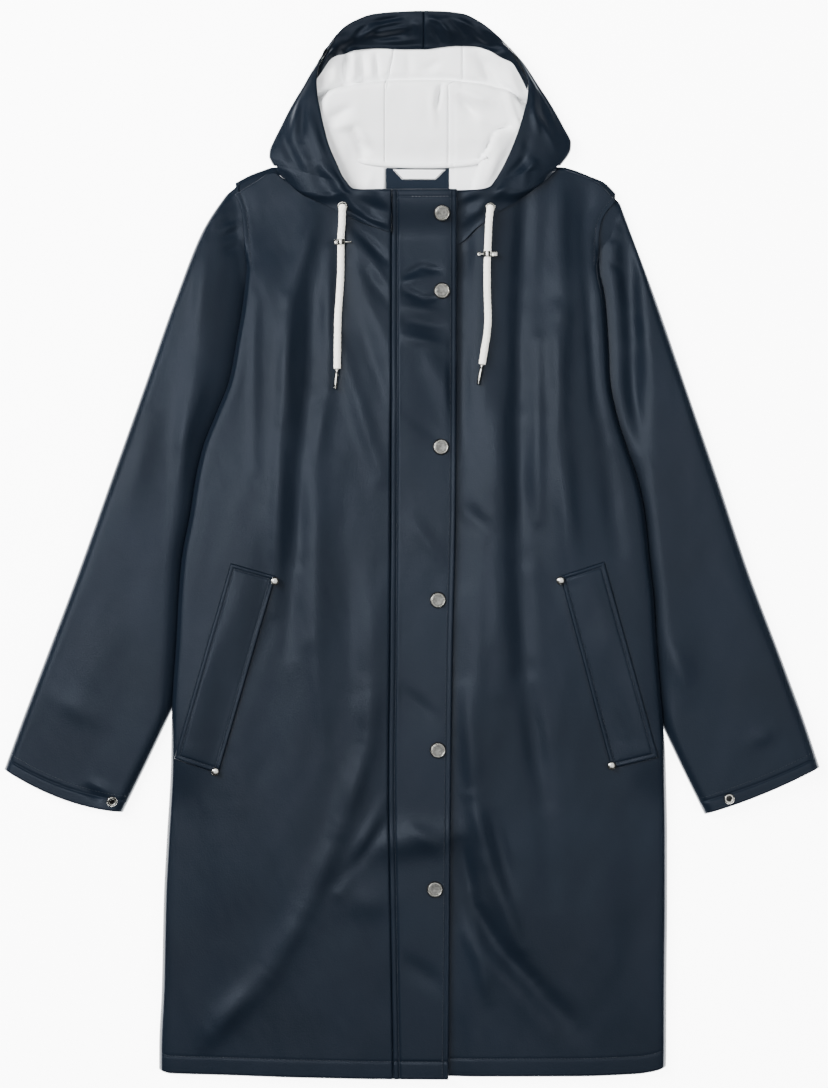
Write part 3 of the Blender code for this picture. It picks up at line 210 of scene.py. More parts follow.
HoodRow = namedtuple("HoodRow", "rim_x rim_y rim_z side_x side_y seam_x seam_y bow")
HOOD_RIGHT_ROWS = named_rows(HoodRow, (
    (335, 40.6, 16.4, 331.5, 42.5, 381, 12.6, 0), (319, 67.5, 16.2, 310.5, 73.5, 383, 31, -9),
    (317, 84, 17, 303, 86, 393.5, 48.5, -11), (318, 97, 18, 295.5, 98, 391, 63, -8),
    (320.5, 110, 18.6, 288, 111, 387, 78.5, -3), (324, 126, 19, 280.5, 126, 385, 87, -1),
    (329, 145, 19, 272.5, 142, 385, 112, 0), (337, 164, 18.8, 269.3, 150, 385, 135, 0),
    (343, 177, 18.4, 268.8, 156, 385, 152, 0), (347, 182.5, 18.2, 270.4, 160.5, 385, 160, 0),
    (349.5, 186, 18, 273, 165, 385, 166.3, 0), (354, 189.2, 18, 295, 186.7, 385, 166.3, 0),
    (364, 190, 18, 320, 200.3, 385, 166.3, 0), (377, 190, 17, 353, 216.3, 385, 166.3, 0),
    (391.4, 190, 16, 391.4, 231.4, 385, 166.3, 0),
))
HOOD_LEFT_ROWS = named_rows(HoodRow, (
    (500, 40.1, 16.4, 503.5, 42, 453, 12.6, 0), (519, 61.5, 16.2, 523.5, 63, 462, 30, -8),
    (528, 84, 17, 540, 87, 463, 46.5, -11), (527, 98, 18, 547.5, 98, 463, 62, -8),
    (524, 111, 18.6, 555.5, 111, 461.5, 78.5, -3), (519.5, 127, 19, 564.3, 127, 448, 87, -1),
    (513, 145, 19, 571.6, 142, 448, 112, 0), (505, 163, 18.8, 571.2, 149, 448, 135, 0),
    (499, 174, 18.4, 568.6, 155, 448, 152, 0), (496, 179, 18.2, 565, 160, 448, 160, 0),
    (493.5, 182.5, 18, 561, 164.8, 448, 167.6, 0), (489.5, 187, 18, 541, 181.7, 448, 167.6, 0),
    (478, 190, 18, 517, 199.2, 448, 167.6, 0), (457, 190.5, 17, 478, 224.7, 448, 167.6, 0),
    (430, 190.5, 16, 450, 242.1, 448, 167.6, 0), (403.5, 190.5, 16, 403.5, 241.7, 448, 167.6, 0),
))


def smooth_line(keys, values):
    """A curve through the values that never swings past them."""
    keys = np.asarray(keys, float)
    values = np.asarray(values, float)
    slopes = np.diff(values) / np.diff(keys)
    tangents = np.append(slopes, slopes[-1])
    before, after = slopes[:-1], slopes[1:]
    same_way = before * after > 0
    total = np.where(same_way, before + after, 1.0)
    tangents[1:-1] = np.where(same_way, 2 * before * after / total, 0.0)

    def value(at):
        at = np.clip(np.asarray(at, float), keys[0], keys[-1])
        k = np.clip(np.searchsorted(keys, at, side="right") - 1, 0, len(keys) - 2)
        step = keys[k + 1] - keys[k]
        t = (at - keys[k]) / step
        rise = values[k + 1] - values[k]
        bend0 = tangents[k] * step - rise
        bend1 = rise - tangents[k + 1] * step
        return values[k] + t * rise + t * (1 - t) * (bend0 * (1 - t) + bend1 * t)

    return value


def column(rows, key, name):
    return smooth_line([getattr(row, key) for row in rows], [getattr(row, name) for row in rows])


def by_index(rows, name):
    return smooth_line(range(len(rows)), [getattr(row, name) for row in rows])


body_left = column(BODY_EDGES, "y", "left")
body_right = column(BODY_EDGES, "y", "right")
tuck_left = column(SLEEVE_UNDER_BODY, "y", "left")
tuck_right = column(SLEEVE_UNDER_BODY, "y", "right")
front_top = column(FRONT_TOP, "x", "y")
back_top = column(BACK_TOP, "x", "y")
hem_right = column(HEM_RIGHT, "x", "y")
hem_left = column(HEM_LEFT, "x", "y")
hood_top = column(HOOD_TOP, "x", "y")
hood_ridge = column(HOOD_RIDGE, "x", "y")
placket_seam = column(PLACKET_EDGES, "y", "seam")
placket_under = column(PLACKET_EDGES, "y", "under")
placket_edge = column(PLACKET_EDGES, "y", "edge")


def ease(value, start, end):
    """0 before start, 1 after end and a soft step between them."""
    t = np.clip((np.asarray(value, float) - start) / (end - start), 0.0, 1.0)
    return t * t * (3 - 2 * t)


def mix(a, b, share):
    return a + (b - a) * share


def to_segment(x, y, x0, y0, x1, y1):
    """The share along a straight line that is nearest to each place, and the distance from there."""
    dx, dy = x1 - x0, y1 - y0
    t = np.clip(((x - x0) * dx + (y - y0) * dy) / (dx * dx + dy * dy), 0, 1)
    return t, np.hypot(x - x0 - t * dx, y - y0 - t * dy)


def fold_height(folds, x, y):
    """The height of soft folds here. Each runs along a line and fades out at its ends."""
    total = 0.0
    for fold in folds:
        t, away = to_segment(x, y, *fold[:4])
        taper = 0.4 + 0.6 * np.sin(math.pi * t)
        total = total + fold.height * taper * np.exp(-((away / fold.width) ** 2))
    return total


def armhole_join(y):
    """1 along the sewn armhole and 0 further down, where the body lies on the sleeve."""
    return 1 - ease(y, 232, 262)


def hem(x):
    """The hem all the way across, with the right front's hem up to the placket's middle."""
    return np.where(x < 420, hem_right(x), hem_left(x))


def back_lift(x, y):
    """How far the sleeves under the body lift the back panel."""
    under_left = 1 - ease(x - body_left(y), tuck_left(y) + 8, tuck_left(y) + 60)
    under_right = 1 - ease(body_right(y) - x, tuck_right(y) + 8, tuck_right(y) + 60)
    along = ease(y, 206, 296) * (1 - ease(y, 745, 810))
    return BACK_LIFT * np.maximum(under_left, under_right) * along


def front_height(x, y):
    """The underside of the fronts and of the placket."""
    inside = np.minimum(x - body_left(y), body_right(y) - x)
    share = np.clip(inside / SIDE_ROUND, 0, 1)
    puff = FRONT_PUFF * (1 - (1 - share) ** 3) ** (1 / 3)
    puff = np.maximum(puff, FRONT_PUFF * (1 - ease(y, 222, 304)))
    crown = FRONT_CROWN * ease(inside, 20, 150)
    folds = fold_height(FRONT_FOLDS, x, y) * ease(inside, 2, 22)
    by_placket = ease(x, 375, 390) * (1 - ease(x, placket_edge(y) + 8, placket_edge(y) + 34))
    floor = 0.4 + 4.0 * by_placket
    above = puff + crown + folds - floor
    soft = 1.5
    loft = floor + soft * np.logaddexp(0, above / soft)
    edge_floor = np.clip(share * 4, 0, 1)
    loft = np.where(armhole_join(y) > 0, loft, loft * edge_floor)
    return back_lift(x, y) + CLOTH + SEAM_GAP + 0.2 + loft


def left_front_height(x, y):
    """The underside of the left front, which dips below the placket and further below the hood's collar."""
    lap = LAP + COLLAR_LAP * (1 - ease(y, 246, 285))
    return front_height(x, y) - lap * (1 - ease(x, placket_edge(y) + 1, placket_edge(y) + 30))


def collar_rise(x, y):
    by_placket = ease(x, 370, 388) * (1 - ease(x, 455, 470))
    foot = mix(front_top(x), 241.0, by_placket)
    return COLLAR_RISE * ease(foot - y, 0, 48)


def placket_height(x, y):
    """The underside of the placket, which goes up over the hood's collar at the neck."""
    return front_height(x, np.maximum(y, front_top(x))) + collar_rise(x, y)


def on_front(front):
    """The outer side of the hood's collar, whose lower edge laps over the front of this height."""

    def height(x, y):
        top = front(x, np.maximum(y, front_top(x))) + CLOTH
        return top + COLLAR_GAP + CLOTH + collar_rise(x, y)

    return height


FRONT_CREASES = named_rows(Fold, (
    (356, 230, 388, 262, -1.5, 4.5), (366, 250, 389, 288, 0.7, 4.5), (360, 262, 389, 306, -0.7, 5),
    (300, 560, 330, 700, 1.4, 20), (345, 520, 352, 690, -1.2, 14), (203, 640, 196, 800, 1, 16),
    (339, 884, 384, 826, -1.8, 7), (238, 1000, 205, 1046, 1.2, 9), (494, 819, 510, 890, -1.6, 8),
    (479, 957, 489, 998, 1.4, 7), (566, 250, 566, 360, 0.8, 7), (590, 300, 594, 420, -0.7, 5),
    (630, 620, 640, 800, 1.2, 18), (470, 600, 480, 760, 1.2, 16), (520, 680, 540, 800, -1.2, 18),
    (604, 283, 612, 262, -0.8, 4), (600, 301, 610, 284, -0.7, 4), (246, 246, 256, 262, -0.8, 4),
    (248, 272, 258, 292, -0.7, 4),
))
PLACKET_CREASES = named_rows(Fold, (
    (404, 277, 421, 267, -1.5, 3.6), (421, 267, 440, 271, -1.4, 3.6), (402, 281, 428, 279, 0.9, 3.6),
    (403, 290, 424, 299, -1.5, 3.8), (424, 299, 440, 297, -1.2, 3.8), (402, 306, 440, 314, 1, 5),
    (402, 320, 444, 328, -1, 5), (402, 336, 444, 346, 1.4, 6), (424, 345, 458, 416, 1.9, 12),
    (402, 408, 440, 440, -0.8, 7), (412, 520, 440, 560, 0.9, 9), (402, 690, 436, 720, -0.9, 8),
    (404, 820, 440, 850, 1, 9), (402, 960, 440, 985, -0.9, 10),
))
SLEEVE_CREASES = named_rows(Fold, (
    (221, 224, 236, 217, -0.9, 3.5), (223, 237, 238, 230, -0.9, 3.5), (218, 212, 236, 204, -0.7, 4),
    (224, 250, 240, 247, -0.7, 4), (222, 231, 237, 224, 0.7, 3.5), (612, 262, 622, 270, -0.8, 4),
    (608, 236, 622, 240, -0.8, 4), (618, 222, 630, 231, -0.7, 4), (206, 245, 196, 330, 1.2, 7),
    (187, 408, 181, 480, 1.4, 9), (87, 790, 104, 803, -1.6, 5), (93, 783, 112, 793, 1, 5),
    (752, 742, 772, 730, 1.2, 9), (60, 700, 100, 720, 0.8, 12), (722, 560, 760, 640, 1, 12),
    (640, 290, 652, 380, 1.2, 8), (150, 420, 128, 500, 1, 12),
))
HOOD_CREASES = named_rows(Fold, (
    (297, 104, 292, 138, 1.6, 4.5), (304, 106, 301, 140, -1.2, 4), (310, 118, 322, 160, 1.2, 6),
    (284, 140, 296, 166, -1.2, 6), (322, 166, 352, 200, 1.6, 5), (312, 170, 340, 204, -1.4, 6),
    (300, 152, 312, 176, 1, 6), (341, 176, 352, 196, -1, 4), (349, 202, 369, 219, 1.6, 4.5),
    (369, 219, 389, 228, 1.4, 4.5), (352, 214, 372, 229, -1.6, 4.5), (366, 204, 388, 212, -1, 5),
    (531, 102, 538, 132, 1.8, 4), (538, 96, 549, 128, -1.6, 4.5), (541, 120, 556, 150, 1.4, 4.5),
    (528, 140, 522, 166, -1.2, 5), (522, 150, 539, 176, 1, 5), (514, 186, 534, 164, 1.6, 3.6),
    (508, 178, 526, 158, -1.3, 4), (496, 196, 510, 184, 1, 4), (535, 60, 545, 92, 1, 5),
    (466, 222, 486, 204, 1.4, 5), (460, 208, 478, 198, -1.2, 5),
))
INSIDE_CREASES = named_rows(Fold, (
    (344, 50, 345, 85, -6, 4.2), (353, 52, 354, 82, 2.4, 3.5), (335, 58, 333, 84, 1.6, 4.5),
    (362, 54, 363, 84, -2, 2.6), (376, 54, 378, 80, -2.2, 2.4), (370, 56, 371, 82, 1.2, 2.4),
    (393, 56, 386, 82, -1.2, 1.4), (408, 52, 409, 76, -1.2, 5), (328, 120, 350, 108, -2.2, 5),
    (334, 128, 354, 122, 2, 5), (352, 132, 367, 151, -3.4, 3.6), (358, 130, 370, 144, 1.6, 3.4),
    (358, 144, 363, 160, -2.4, 3), (340, 140, 346, 160, 1.4, 6), (441, 86, 436.5, 108, -3, 2.6),
    (432, 92, 434, 124, 1.2, 4), (460, 99, 477, 116, -3.4, 4.2), (464, 94, 490, 103, 2, 5),
    (474, 112, 486, 130, 1.4, 5), (480, 56, 499, 88, -4.4, 7), (508, 70, 517, 92, 1.8, 5),
    (424, 70, 440, 62, -1.6, 5), (507, 96, 519, 134, 2.4, 3.2), (497, 129, 514, 126.5, -3.4, 2.2),
    (490, 140, 486, 150, -2.6, 2.6), (330, 168, 346, 184, -1.4, 5), (372, 172, 366, 188, 1, 5),
    (500, 150, 486, 180, 1.4, 5),
))
FACING_CREASES = named_rows(Fold, (
    (377, 33, 392, 30, 1.8, 2.4), (392, 30, 408, 28, 1.6, 2.2), (376, 38, 404, 34, -1.6, 2.2),
    (362, 38, 378, 27, 1.7, 2.6), (378, 27, 401, 21.5, 1.4, 2.4), (352, 38, 369, 25, -1.4, 2.8),
    (369, 24, 401, 17.5, -1.4, 2.4), (345, 45, 356, 33, 1.2, 3), (383, 42, 414, 40, 1, 2.6),
    (410, 22, 415, 38, -1.2, 2.6), (441, 24, 452, 37, 1.9, 2.3), (451, 21, 464, 34, -1.7, 2.5),
    (432, 28, 441, 41, -1.3, 2.4), (459, 20, 473, 29, 1.4, 2.6), (470, 28, 489, 44, 1.3, 3),
    (476, 40, 496, 50, -1.2, 2.6), (430, 18, 440, 23, 1.1, 2.6),
))

PLACKET_LEAN = 0.035
CUFF_BOW = {"right": 8.6, "left": 3.6}
SLEEVE_ROWS = {"right": SLEEVE_RIGHT_ROWS, "left": SLEEVE_LEFT_ROWS}
SLEEVE_WIDTH = 130
SLEEVE_LENGTH = 640
HEM_DEPTH = 18.0
UNDERLAP = 2.8
UNDERLAP_DROP = 2.2
PLACKET_STITCH = 5.9
ARMHOLE_STITCH = 6.0
SEAM_RIGHT_X = 385.0
SEAM_LEFT_X = 448.0
BACK_ROLL = 0.03
BACK_SHORTER = 3.0
SLEEVE_TUCK = 2.4
INSIDE_LIFT = 1.8
LEAF_LAP = 27.0
CUFF_DEPTH = 17.0


def lattice_noise(x, y, size_x, size_y, seed):
    """Soft uneven swells from -1 to 1, of about this size."""
    values = np.random.default_rng(seed).uniform(-1, 1, (64, 64))
    u = np.asarray(x) / size_x + 20.3
    v = np.asarray(y) / size_y + 11.7
    i = np.floor(u).astype(int)
    j = np.floor(v).astype(int)
    fu = ease(u - i, 0, 1)
    fv = ease(v - j, 0, 1)
    a = values[i % 64, j % 64]
    b = values[(i + 1) % 64, j % 64]
    c = values[i % 64, (j + 1) % 64]
    d = values[(i + 1) % 64, (j + 1) % 64]
    return mix(mix(a, b, fu), mix(c, d, fu), fv)


def cloth_swells(x, y, seed):
    """The slight unevenness of coated cloth that has been worn and laid out."""
    large = lattice_noise(x, y, 34, 90, seed)
    middle = lattice_noise(x + 0.2 * y, y, 15, 38, seed + 1)
    small = lattice_noise(x - 0.3 * y, y, 7, 16, seed + 2)
    return 0.42 * large + 0.2 * middle + 0.07 * small


def distance_to(line, x, y):
    """The distance from each place to a line of points."""
    best = np.full(np.shape(x), 1e9)
    for start, end in zip(line, line[1:]):
        best = np.minimum(best, to_segment(x, y, *start, *end)[1])
    return best


def groove(distance, depth, width):
    """A sewn line pressed into the cloth, by the distance from it."""
    return -depth * np.exp(-((distance / width) ** 2))


def rounded(share):
    """A quarter of a circle, which goes up from 0 at 0 to 1 at 1."""
    return np.sqrt(1 - (1 - np.clip(share, 0, 1)) ** 2)


def rolled(distance, drop, reach):
    """How far an edge drops as it rolls under, by the distance from the edge."""
    return -drop * (1 - rounded(distance / reach))


def marks(length, step, fine_at=(), fine_step=1.0, reach=6.0):
    """Shares from 0 to 1 along a length in millimetres, closer together near the places in fine_at."""
    s = np.linspace(0, length, 2001)
    density = np.full_like(s, 1 / step)
    for place in fine_at:
        density = np.maximum(
            density, 1 / step + (1 / fine_step - 1 / step) * np.exp(-(((s - place) / reach) ** 2)),
        )
    total = np.concatenate([[0], np.cumsum((density[1:] + density[:-1]) / 2 * np.diff(s))])
    count = max(2, int(round(total[-1])))
    return np.interp(np.linspace(0, total[-1], count + 1), total, s) / length


def sheet_points(x, y, z):
    """Places in the scene, in metres, for whole arrays of places on the sheet."""
    x, y, z = np.broadcast_arrays(x, y, z)
    return np.stack([(x - SHEET_CENTRE_X) * MM, (SHEET_CENTRE_Y - y) * MM, z * MM], axis=-1)


def world(x, y, z):
    """A place in the scene, in metres, for a place on the sheet."""
    return Vector(((x - SHEET_CENTRE_X) * MM, (SHEET_CENTRE_Y - y) * MM, z * MM))


def cloth_mesh(name, across_marks, down_marks, place, kept=None, flip=False, ring=False):
    """A sheet of cloth on a grid. place gives x, y and z from the marks of its columns and rows."""
    columns = len(across_marks) - 1
    rows = len(down_marks) - 1
    bm = bmesh.new()
    bmesh.ops.create_grid(bm, x_segments=columns, y_segments=rows, size=0.5)
    if kept:
        lost = []
        for face in bm.faces:
            centre = face.calc_center_median()
            column_at = across_marks[int((centre.x + 0.5) * columns)]
            row_at = down_marks[int((0.5 - centre.y) * rows)]
            if not kept(column_at, row_at):
                lost.append(face)
        bmesh.ops.delete(bm, geom=lost, context="FACES")
    mesh = bpy.data.meshes.new(name)
    bm.to_mesh(mesh)
    flat = np.empty(3 * len(mesh.vertices), np.float32)
    mesh.vertices.foreach_get("co", flat)
    flat = flat.reshape(-1, 3)
    across = np.asarray(across_marks)[np.rint((flat[:, 0] + 0.5) * columns).astype(int)]
    down = np.asarray(down_marks)[np.rint((0.5 - flat[:, 1]) * rows).astype(int)]
    points = sheet_points(*place(across, down))
    mesh.vertices.foreach_set("co", points.astype(np.float32).ravel())
    if ring or flip:
        bm.clear()
        bm.from_mesh(mesh)
        if ring:
            bmesh.ops.remove_doubles(bm, verts=bm.verts, dist=0.01 * MM)
        if flip:
            bmesh.ops.reverse_faces(bm, faces=bm.faces)
        bm.to_mesh(mesh)
    bm.free()
    mesh.shade_smooth()
    mesh.update()
    return mesh


def front_detail(x, y, seed):
    """Finer folds and swells of a front, and the sewn lines on it."""
    inside = np.minimum(x - body_left(y), body_right(y) - x)
    detail = (fold_height(FRONT_CREASES, x, y) + cloth_swells(x, y, seed)) * ease(inside, 3, 20)
    from_hem = hem(x) - y
    detail = detail * (1 - 0.5 * (1 - ease(from_hem, 4, 40)))
    detail = detail + groove(from_hem - HEM_DEPTH, 0.3, 1.0) + 0.12 * (1 - ease(from_hem, 14, 21))
    detail = detail + rolled(from_hem, 1.1, 2.2) + rolled(inside, 1.2, 3.0) * (1 - armhole_join(y))
    armhole = np.minimum(distance_to(ARMHOLE_LINE_RIGHT, x, y), distance_to(ARMHOLE_LINE_LEFT, x, y))
    detail = detail + rolled(armhole, 0.9, 2.2) + groove(armhole - ARMHOLE_STITCH, 0.4, 1.1)
    neck = np.abs(y - front_top(x))
    return detail + rolled(neck, 0.3, 2.0) * np.maximum(1 - ease(x, 262, 270), ease(x, 562, 570))


ARMHOLE_LINE_RIGHT = [(row.x, row.y) for row in ARMHOLE_RIGHT][1:-2]
ARMHOLE_LINE_LEFT = [(row.x, row.y) for row in ARMHOLE_LEFT][1:-2]


def front_right_top(x, y):
    """The upper side of the right front, with a narrow strip that goes down and on below the placket."""
    seam = placket_seam(y) - SEAM_GAP - x
    under = UNDERLAP_DROP * ease(-seam, -0.5, 0.9)
    detail = front_detail(x, y, 3)
    return front_height(x, y) + CLOTH + detail + rolled(seam, 0.9, 1.8) - under


def under_placket(y):
    """The inner edge of the right front, on its strip below the placket."""
    return placket_seam(y) + UNDERLAP


def front_left_top(x, y):
    return left_front_height(x, y) + CLOTH + front_detail(x, y, 7)


def placket_top(x, y):
    from_seam = x - placket_seam(y)
    from_edge = placket_edge(y) - x
    from_end = np.minimum(y - PLACKET_TOP, PLACKET_END - y)
    creases = fold_height(PLACKET_CREASES, x, y) + 0.5 * cloth_swells(x, y, 12)
    detail = creases * ease(from_edge, 5, 12) * ease(from_seam, 7, 12)
    detail = detail + rolled(from_seam, 0.8, 1.6) + groove(from_seam - PLACKET_STITCH, 0.8, 1.2)
    detail = detail + rolled(from_edge, 1.3, 2.2) + groove(from_edge - 4.4, 0.35, 0.9)
    detail = detail + rolled(from_end, 1.0, 1.8) + groove(y - PLACKET_TOP - 7.5, 0.4, 1.0)
    detail = detail + groove(PLACKET_END - HEM_DEPTH - y, 0.5, 1.3)
    return placket_height(x, y) + PLACKET_WALL + PLACKET_LEAN * np.clip(from_seam - 6, 0, 60) + detail


def front_place(outer, inner, hem_line, top):
    """A front between its outer and inner edge, from its sewn upper edge down to the hem."""

    def place(share, down):
        y_top = np.full_like(share, 205.0)
        for _ in range(60):
            y_top = 0.5 * y_top + 0.5 * front_top(mix(outer(y_top), inner(y_top), share))
        hem_y = hem_line(mix(outer(1075), inner(1075), share))
        y = mix(y_top + SEAM_GAP / 2, hem_y, down)
        x = mix(outer(y), inner(y), share)
        return x, y, top(x, y)

    return place


def sleeve_place(sleeve_rows, armhole_rows, body_edge, side, bow, seed):
    """A sleeve as a flattened tube, from its sewn end at the armhole down to the cuff."""
    outer_x, outer_y, inner_x, inner_y = (by_index(sleeve_rows, name) for name in SleeveRow._fields)
    armhole_x = column(armhole_rows, "share", "x")
    armhole_y = column(armhole_rows, "share", "y")
    last = len(sleeve_rows) - 1

    def place(around, down):
        """around runs from 0 to 1 over the upper side and from 1 to 2 below it, back to the outer fold."""
        below = around > 1
        share = np.where(below, 2 - around, around)
        row = down * last
        chord_x = mix(outer_x(row), inner_x(row), share)
        chord_y = mix(outer_y(row), inner_y(row), share)
        start_x = mix(outer_x(0), inner_x(0), share)
        start_y = mix(outer_y(0), inner_y(0), share)
        sewn = 1 - ease(row, 0, 1.6)
        x = chord_x + sewn * (armhole_x(share) - start_x)
        y = chord_y + sewn * (armhole_y(share) - start_y)
        cuff = ease(row, last - 1.6, last)
        y = y + bow * cuff * 4 * share * (1 - share)
        clear = side * (body_edge(y) - x)
        tuck = SLEEVE_TUCK + 3.0 * (1 - ease(share, 0.08, 0.24))
        x = x + side * tuck * (1 - ease(row, 0, 0.35))
        # The sleeve goes up steeply beside the body, and slowly further out
        beside = mix(39 - 5 * side, 17, ease(y, 390, 510))
        near = 0.72 + 0.06 * side
        steep = 1 - (1 - np.clip((clear + 3) / beside, 0, 1)) ** 2
        rise = near * steep + (1 - near) * np.clip(clear / 125, 0, 1)
        open_side = np.maximum(rise, 0.42 * armhole_join(y) * ease(clear, -3, 1))
        from_outer = np.hypot(x - outer_x(row), y - outer_y(row))
        from_inner = np.hypot(x - inner_x(row), y - inner_y(row))
        rounding = rounded(from_outer / 10) * rounded(from_inner / 12)
        folds = fold_height(SLEEVE_FOLDS, x, y) * ease(clear, 5, 24)
        puff = np.maximum(SLEEVE_PUFF * open_side + folds, 0) * rounding
        nearest = np.minimum(from_outer, from_inner)
        half = SLEEVE_FLAT / 2
        roll = half * rounded(nearest / 2.2)
        detail = fold_height(SLEEVE_CREASES, x, y) + 0.7 * cloth_swells(x, y, seed) * ease(clear, 10, 30)
        from_cuff = (1 - down) * SLEEVE_WIDTH * 4.9
        detail = detail * ease(nearest, 3, 16) * (1 - 0.6 * (1 - ease(from_cuff, 3, 25)))
        detail = detail + groove(from_cuff - CUFF_DEPTH, 0.6, 1.4) + 0.4 * (1 - ease(from_cuff, 14, 19))
        detail = detail + rolled(from_cuff, 1.0, 2.2)
        from_seam = down * SLEEVE_LENGTH
        detail = detail + rolled(from_seam, 1.8, 4.0) * armhole_join(y)
        upper = half + roll + puff + detail * ease(nearest, 0, 3)
        return x, y, np.where(below, half - roll, upper)

    return place


def hood_floor(x, y, row, from_side):
    """The height that the hood's inner side lies at, with its front rim and the ridge across it."""
    rim = RIM_RISE * (1 - ease(row, 0, 2.3))
    behind = y - hood_ridge(x)
    ridge = np.where(behind < 0, np.exp(-((behind / 4.5) ** 2)), 0.3 + 0.7 * np.exp(-((behind / 40) ** 2)))
    ridge = ridge * (1 - ease(y, 135, 163)) * ease(from_side, 16, 46) * ease(row, 2.5, 3.2)
    return rim + RIDGE_RISE * ridge


INSIDE_FOLD = (
    (517, 118), (508, 127), (498.6, 130), (490, 144), (483, 157), (477, 175), (472.6, 192), (468, 215),
)


def inside_step(x, y):
    """The lining of the left side laps over in a loose fold, with a soft edge that faces the middle."""
    edge = smooth_line([p[1] for p in INSIDE_FOLD], [p[0] for p in INSIDE_FOLD])
    beyond = x - edge(y)
    along = ease(y, 118, 131)
    step = 5.6 * ease(beyond, -1.4, 1.8) * (1 - 0.75 * ease(beyond, 3, 30))
    return (step + groove(beyond + 2.6, 1.6, 2.0) * (1 - ease(y, 158, 170))) * along


def inside_detail(x, y):
    """Creases, seams and the loose fold of the hood's inner side, all seen from above."""
    fine = 1.7 * fold_height(INSIDE_CREASES, x, y)
    fine = fine + 0.55 * lattice_noise(x, y, 17, 21, 31) + 0.15 * lattice_noise(x, y, 6, 8, 32)
    below = ease(y, 84, 92)
    left_seam = groove(x - SEAM_LEFT_X, 2.4, 1.0) + groove(x - SEAM_LEFT_X - 5, 1.3, 1.0)
    fine = fine + groove(x - SEAM_RIGHT_X, 0.4, 0.9) * below + left_seam * below
    above = (1 - below) * ease(y, 44, 50)
    fine = fine + 4.2 * ease(hood_ridge(x) - y, 5, 13) * ease(y, 44, 54)
    fine = fine + (groove(x - 462.5, 2.4, 1.1) + groove(x - mix(388, 393, (84 - y) / 30), 1.2, 1.1)) * above
    fine = fine + groove(y - hood_ridge(x) + 4.6, 5.6, 3.4)
    return fine + inside_step(x, y)


def hood_lines(hood_rows):
    return {name: by_index(hood_rows, name) for name in HoodRow._fields}


def turn_inset(lines, row):
    """How far in from the side the hood's turn starts. It is narrow at the top, where the leaves meet."""
    reach = np.hypot(lines["side_x"](row) - lines["rim_x"](row), lines["side_y"](row) - lines["rim_y"](row))
    return np.minimum(TURN_INSET, 0.45 * reach)


def lower_leaf(hood_rows, lines, side, row, share):
    """The hood's lower leaf, from the turn at its side to the seam with the middle panel."""
    first = hood_rows[0]
    last = hood_rows[SHOULDER_ROW]
    side_x, side_y, seam_x, seam_y, bow = (lines[name](row) for name in HoodRow._fields[3:])
    x = mix(side_x + side * turn_inset(lines, row), seam_x - side * SEAM_GAP / 2, share)
    y = mix(side_y, seam_y, share) + bow * 4 * share * (1 - share)
    top_x = mix(first.side_x, first.seam_x, share)
    y = y + (1 - ease(row, 0, 1)) * (hood_top(top_x) - mix(first.side_y, first.seam_y, share))
    neck_x = mix(last.side_x, last.seam_x, share)
    # Past the shoulder's end the leaf laps over the back panel
    past_end = ease(neck_x, 300, 330) if side > 0 else ease(-neck_x, -535, -505)
    to_neck = back_top(neck_x) + LEAF_LAP * past_end - mix(last.side_y, last.seam_y, share)
    y = y + ease(row, SHOULDER_ROW - 2, SHOULDER_ROW) * to_neck
    from_side = np.abs(x - side_x)
    z = hood_floor(x, y, row, from_side)
    detail = (INSIDE_LIFT + inside_detail(x, y)) * ease(from_side, 6, 16) * ease(row, 0.1, 0.8)
    return x, y, np.maximum(z + detail, 0.0)


def leaf_place(hood_rows, side):
    lines = hood_lines(hood_rows)
    return lambda share, row: lower_leaf(hood_rows, lines, side, row, share)


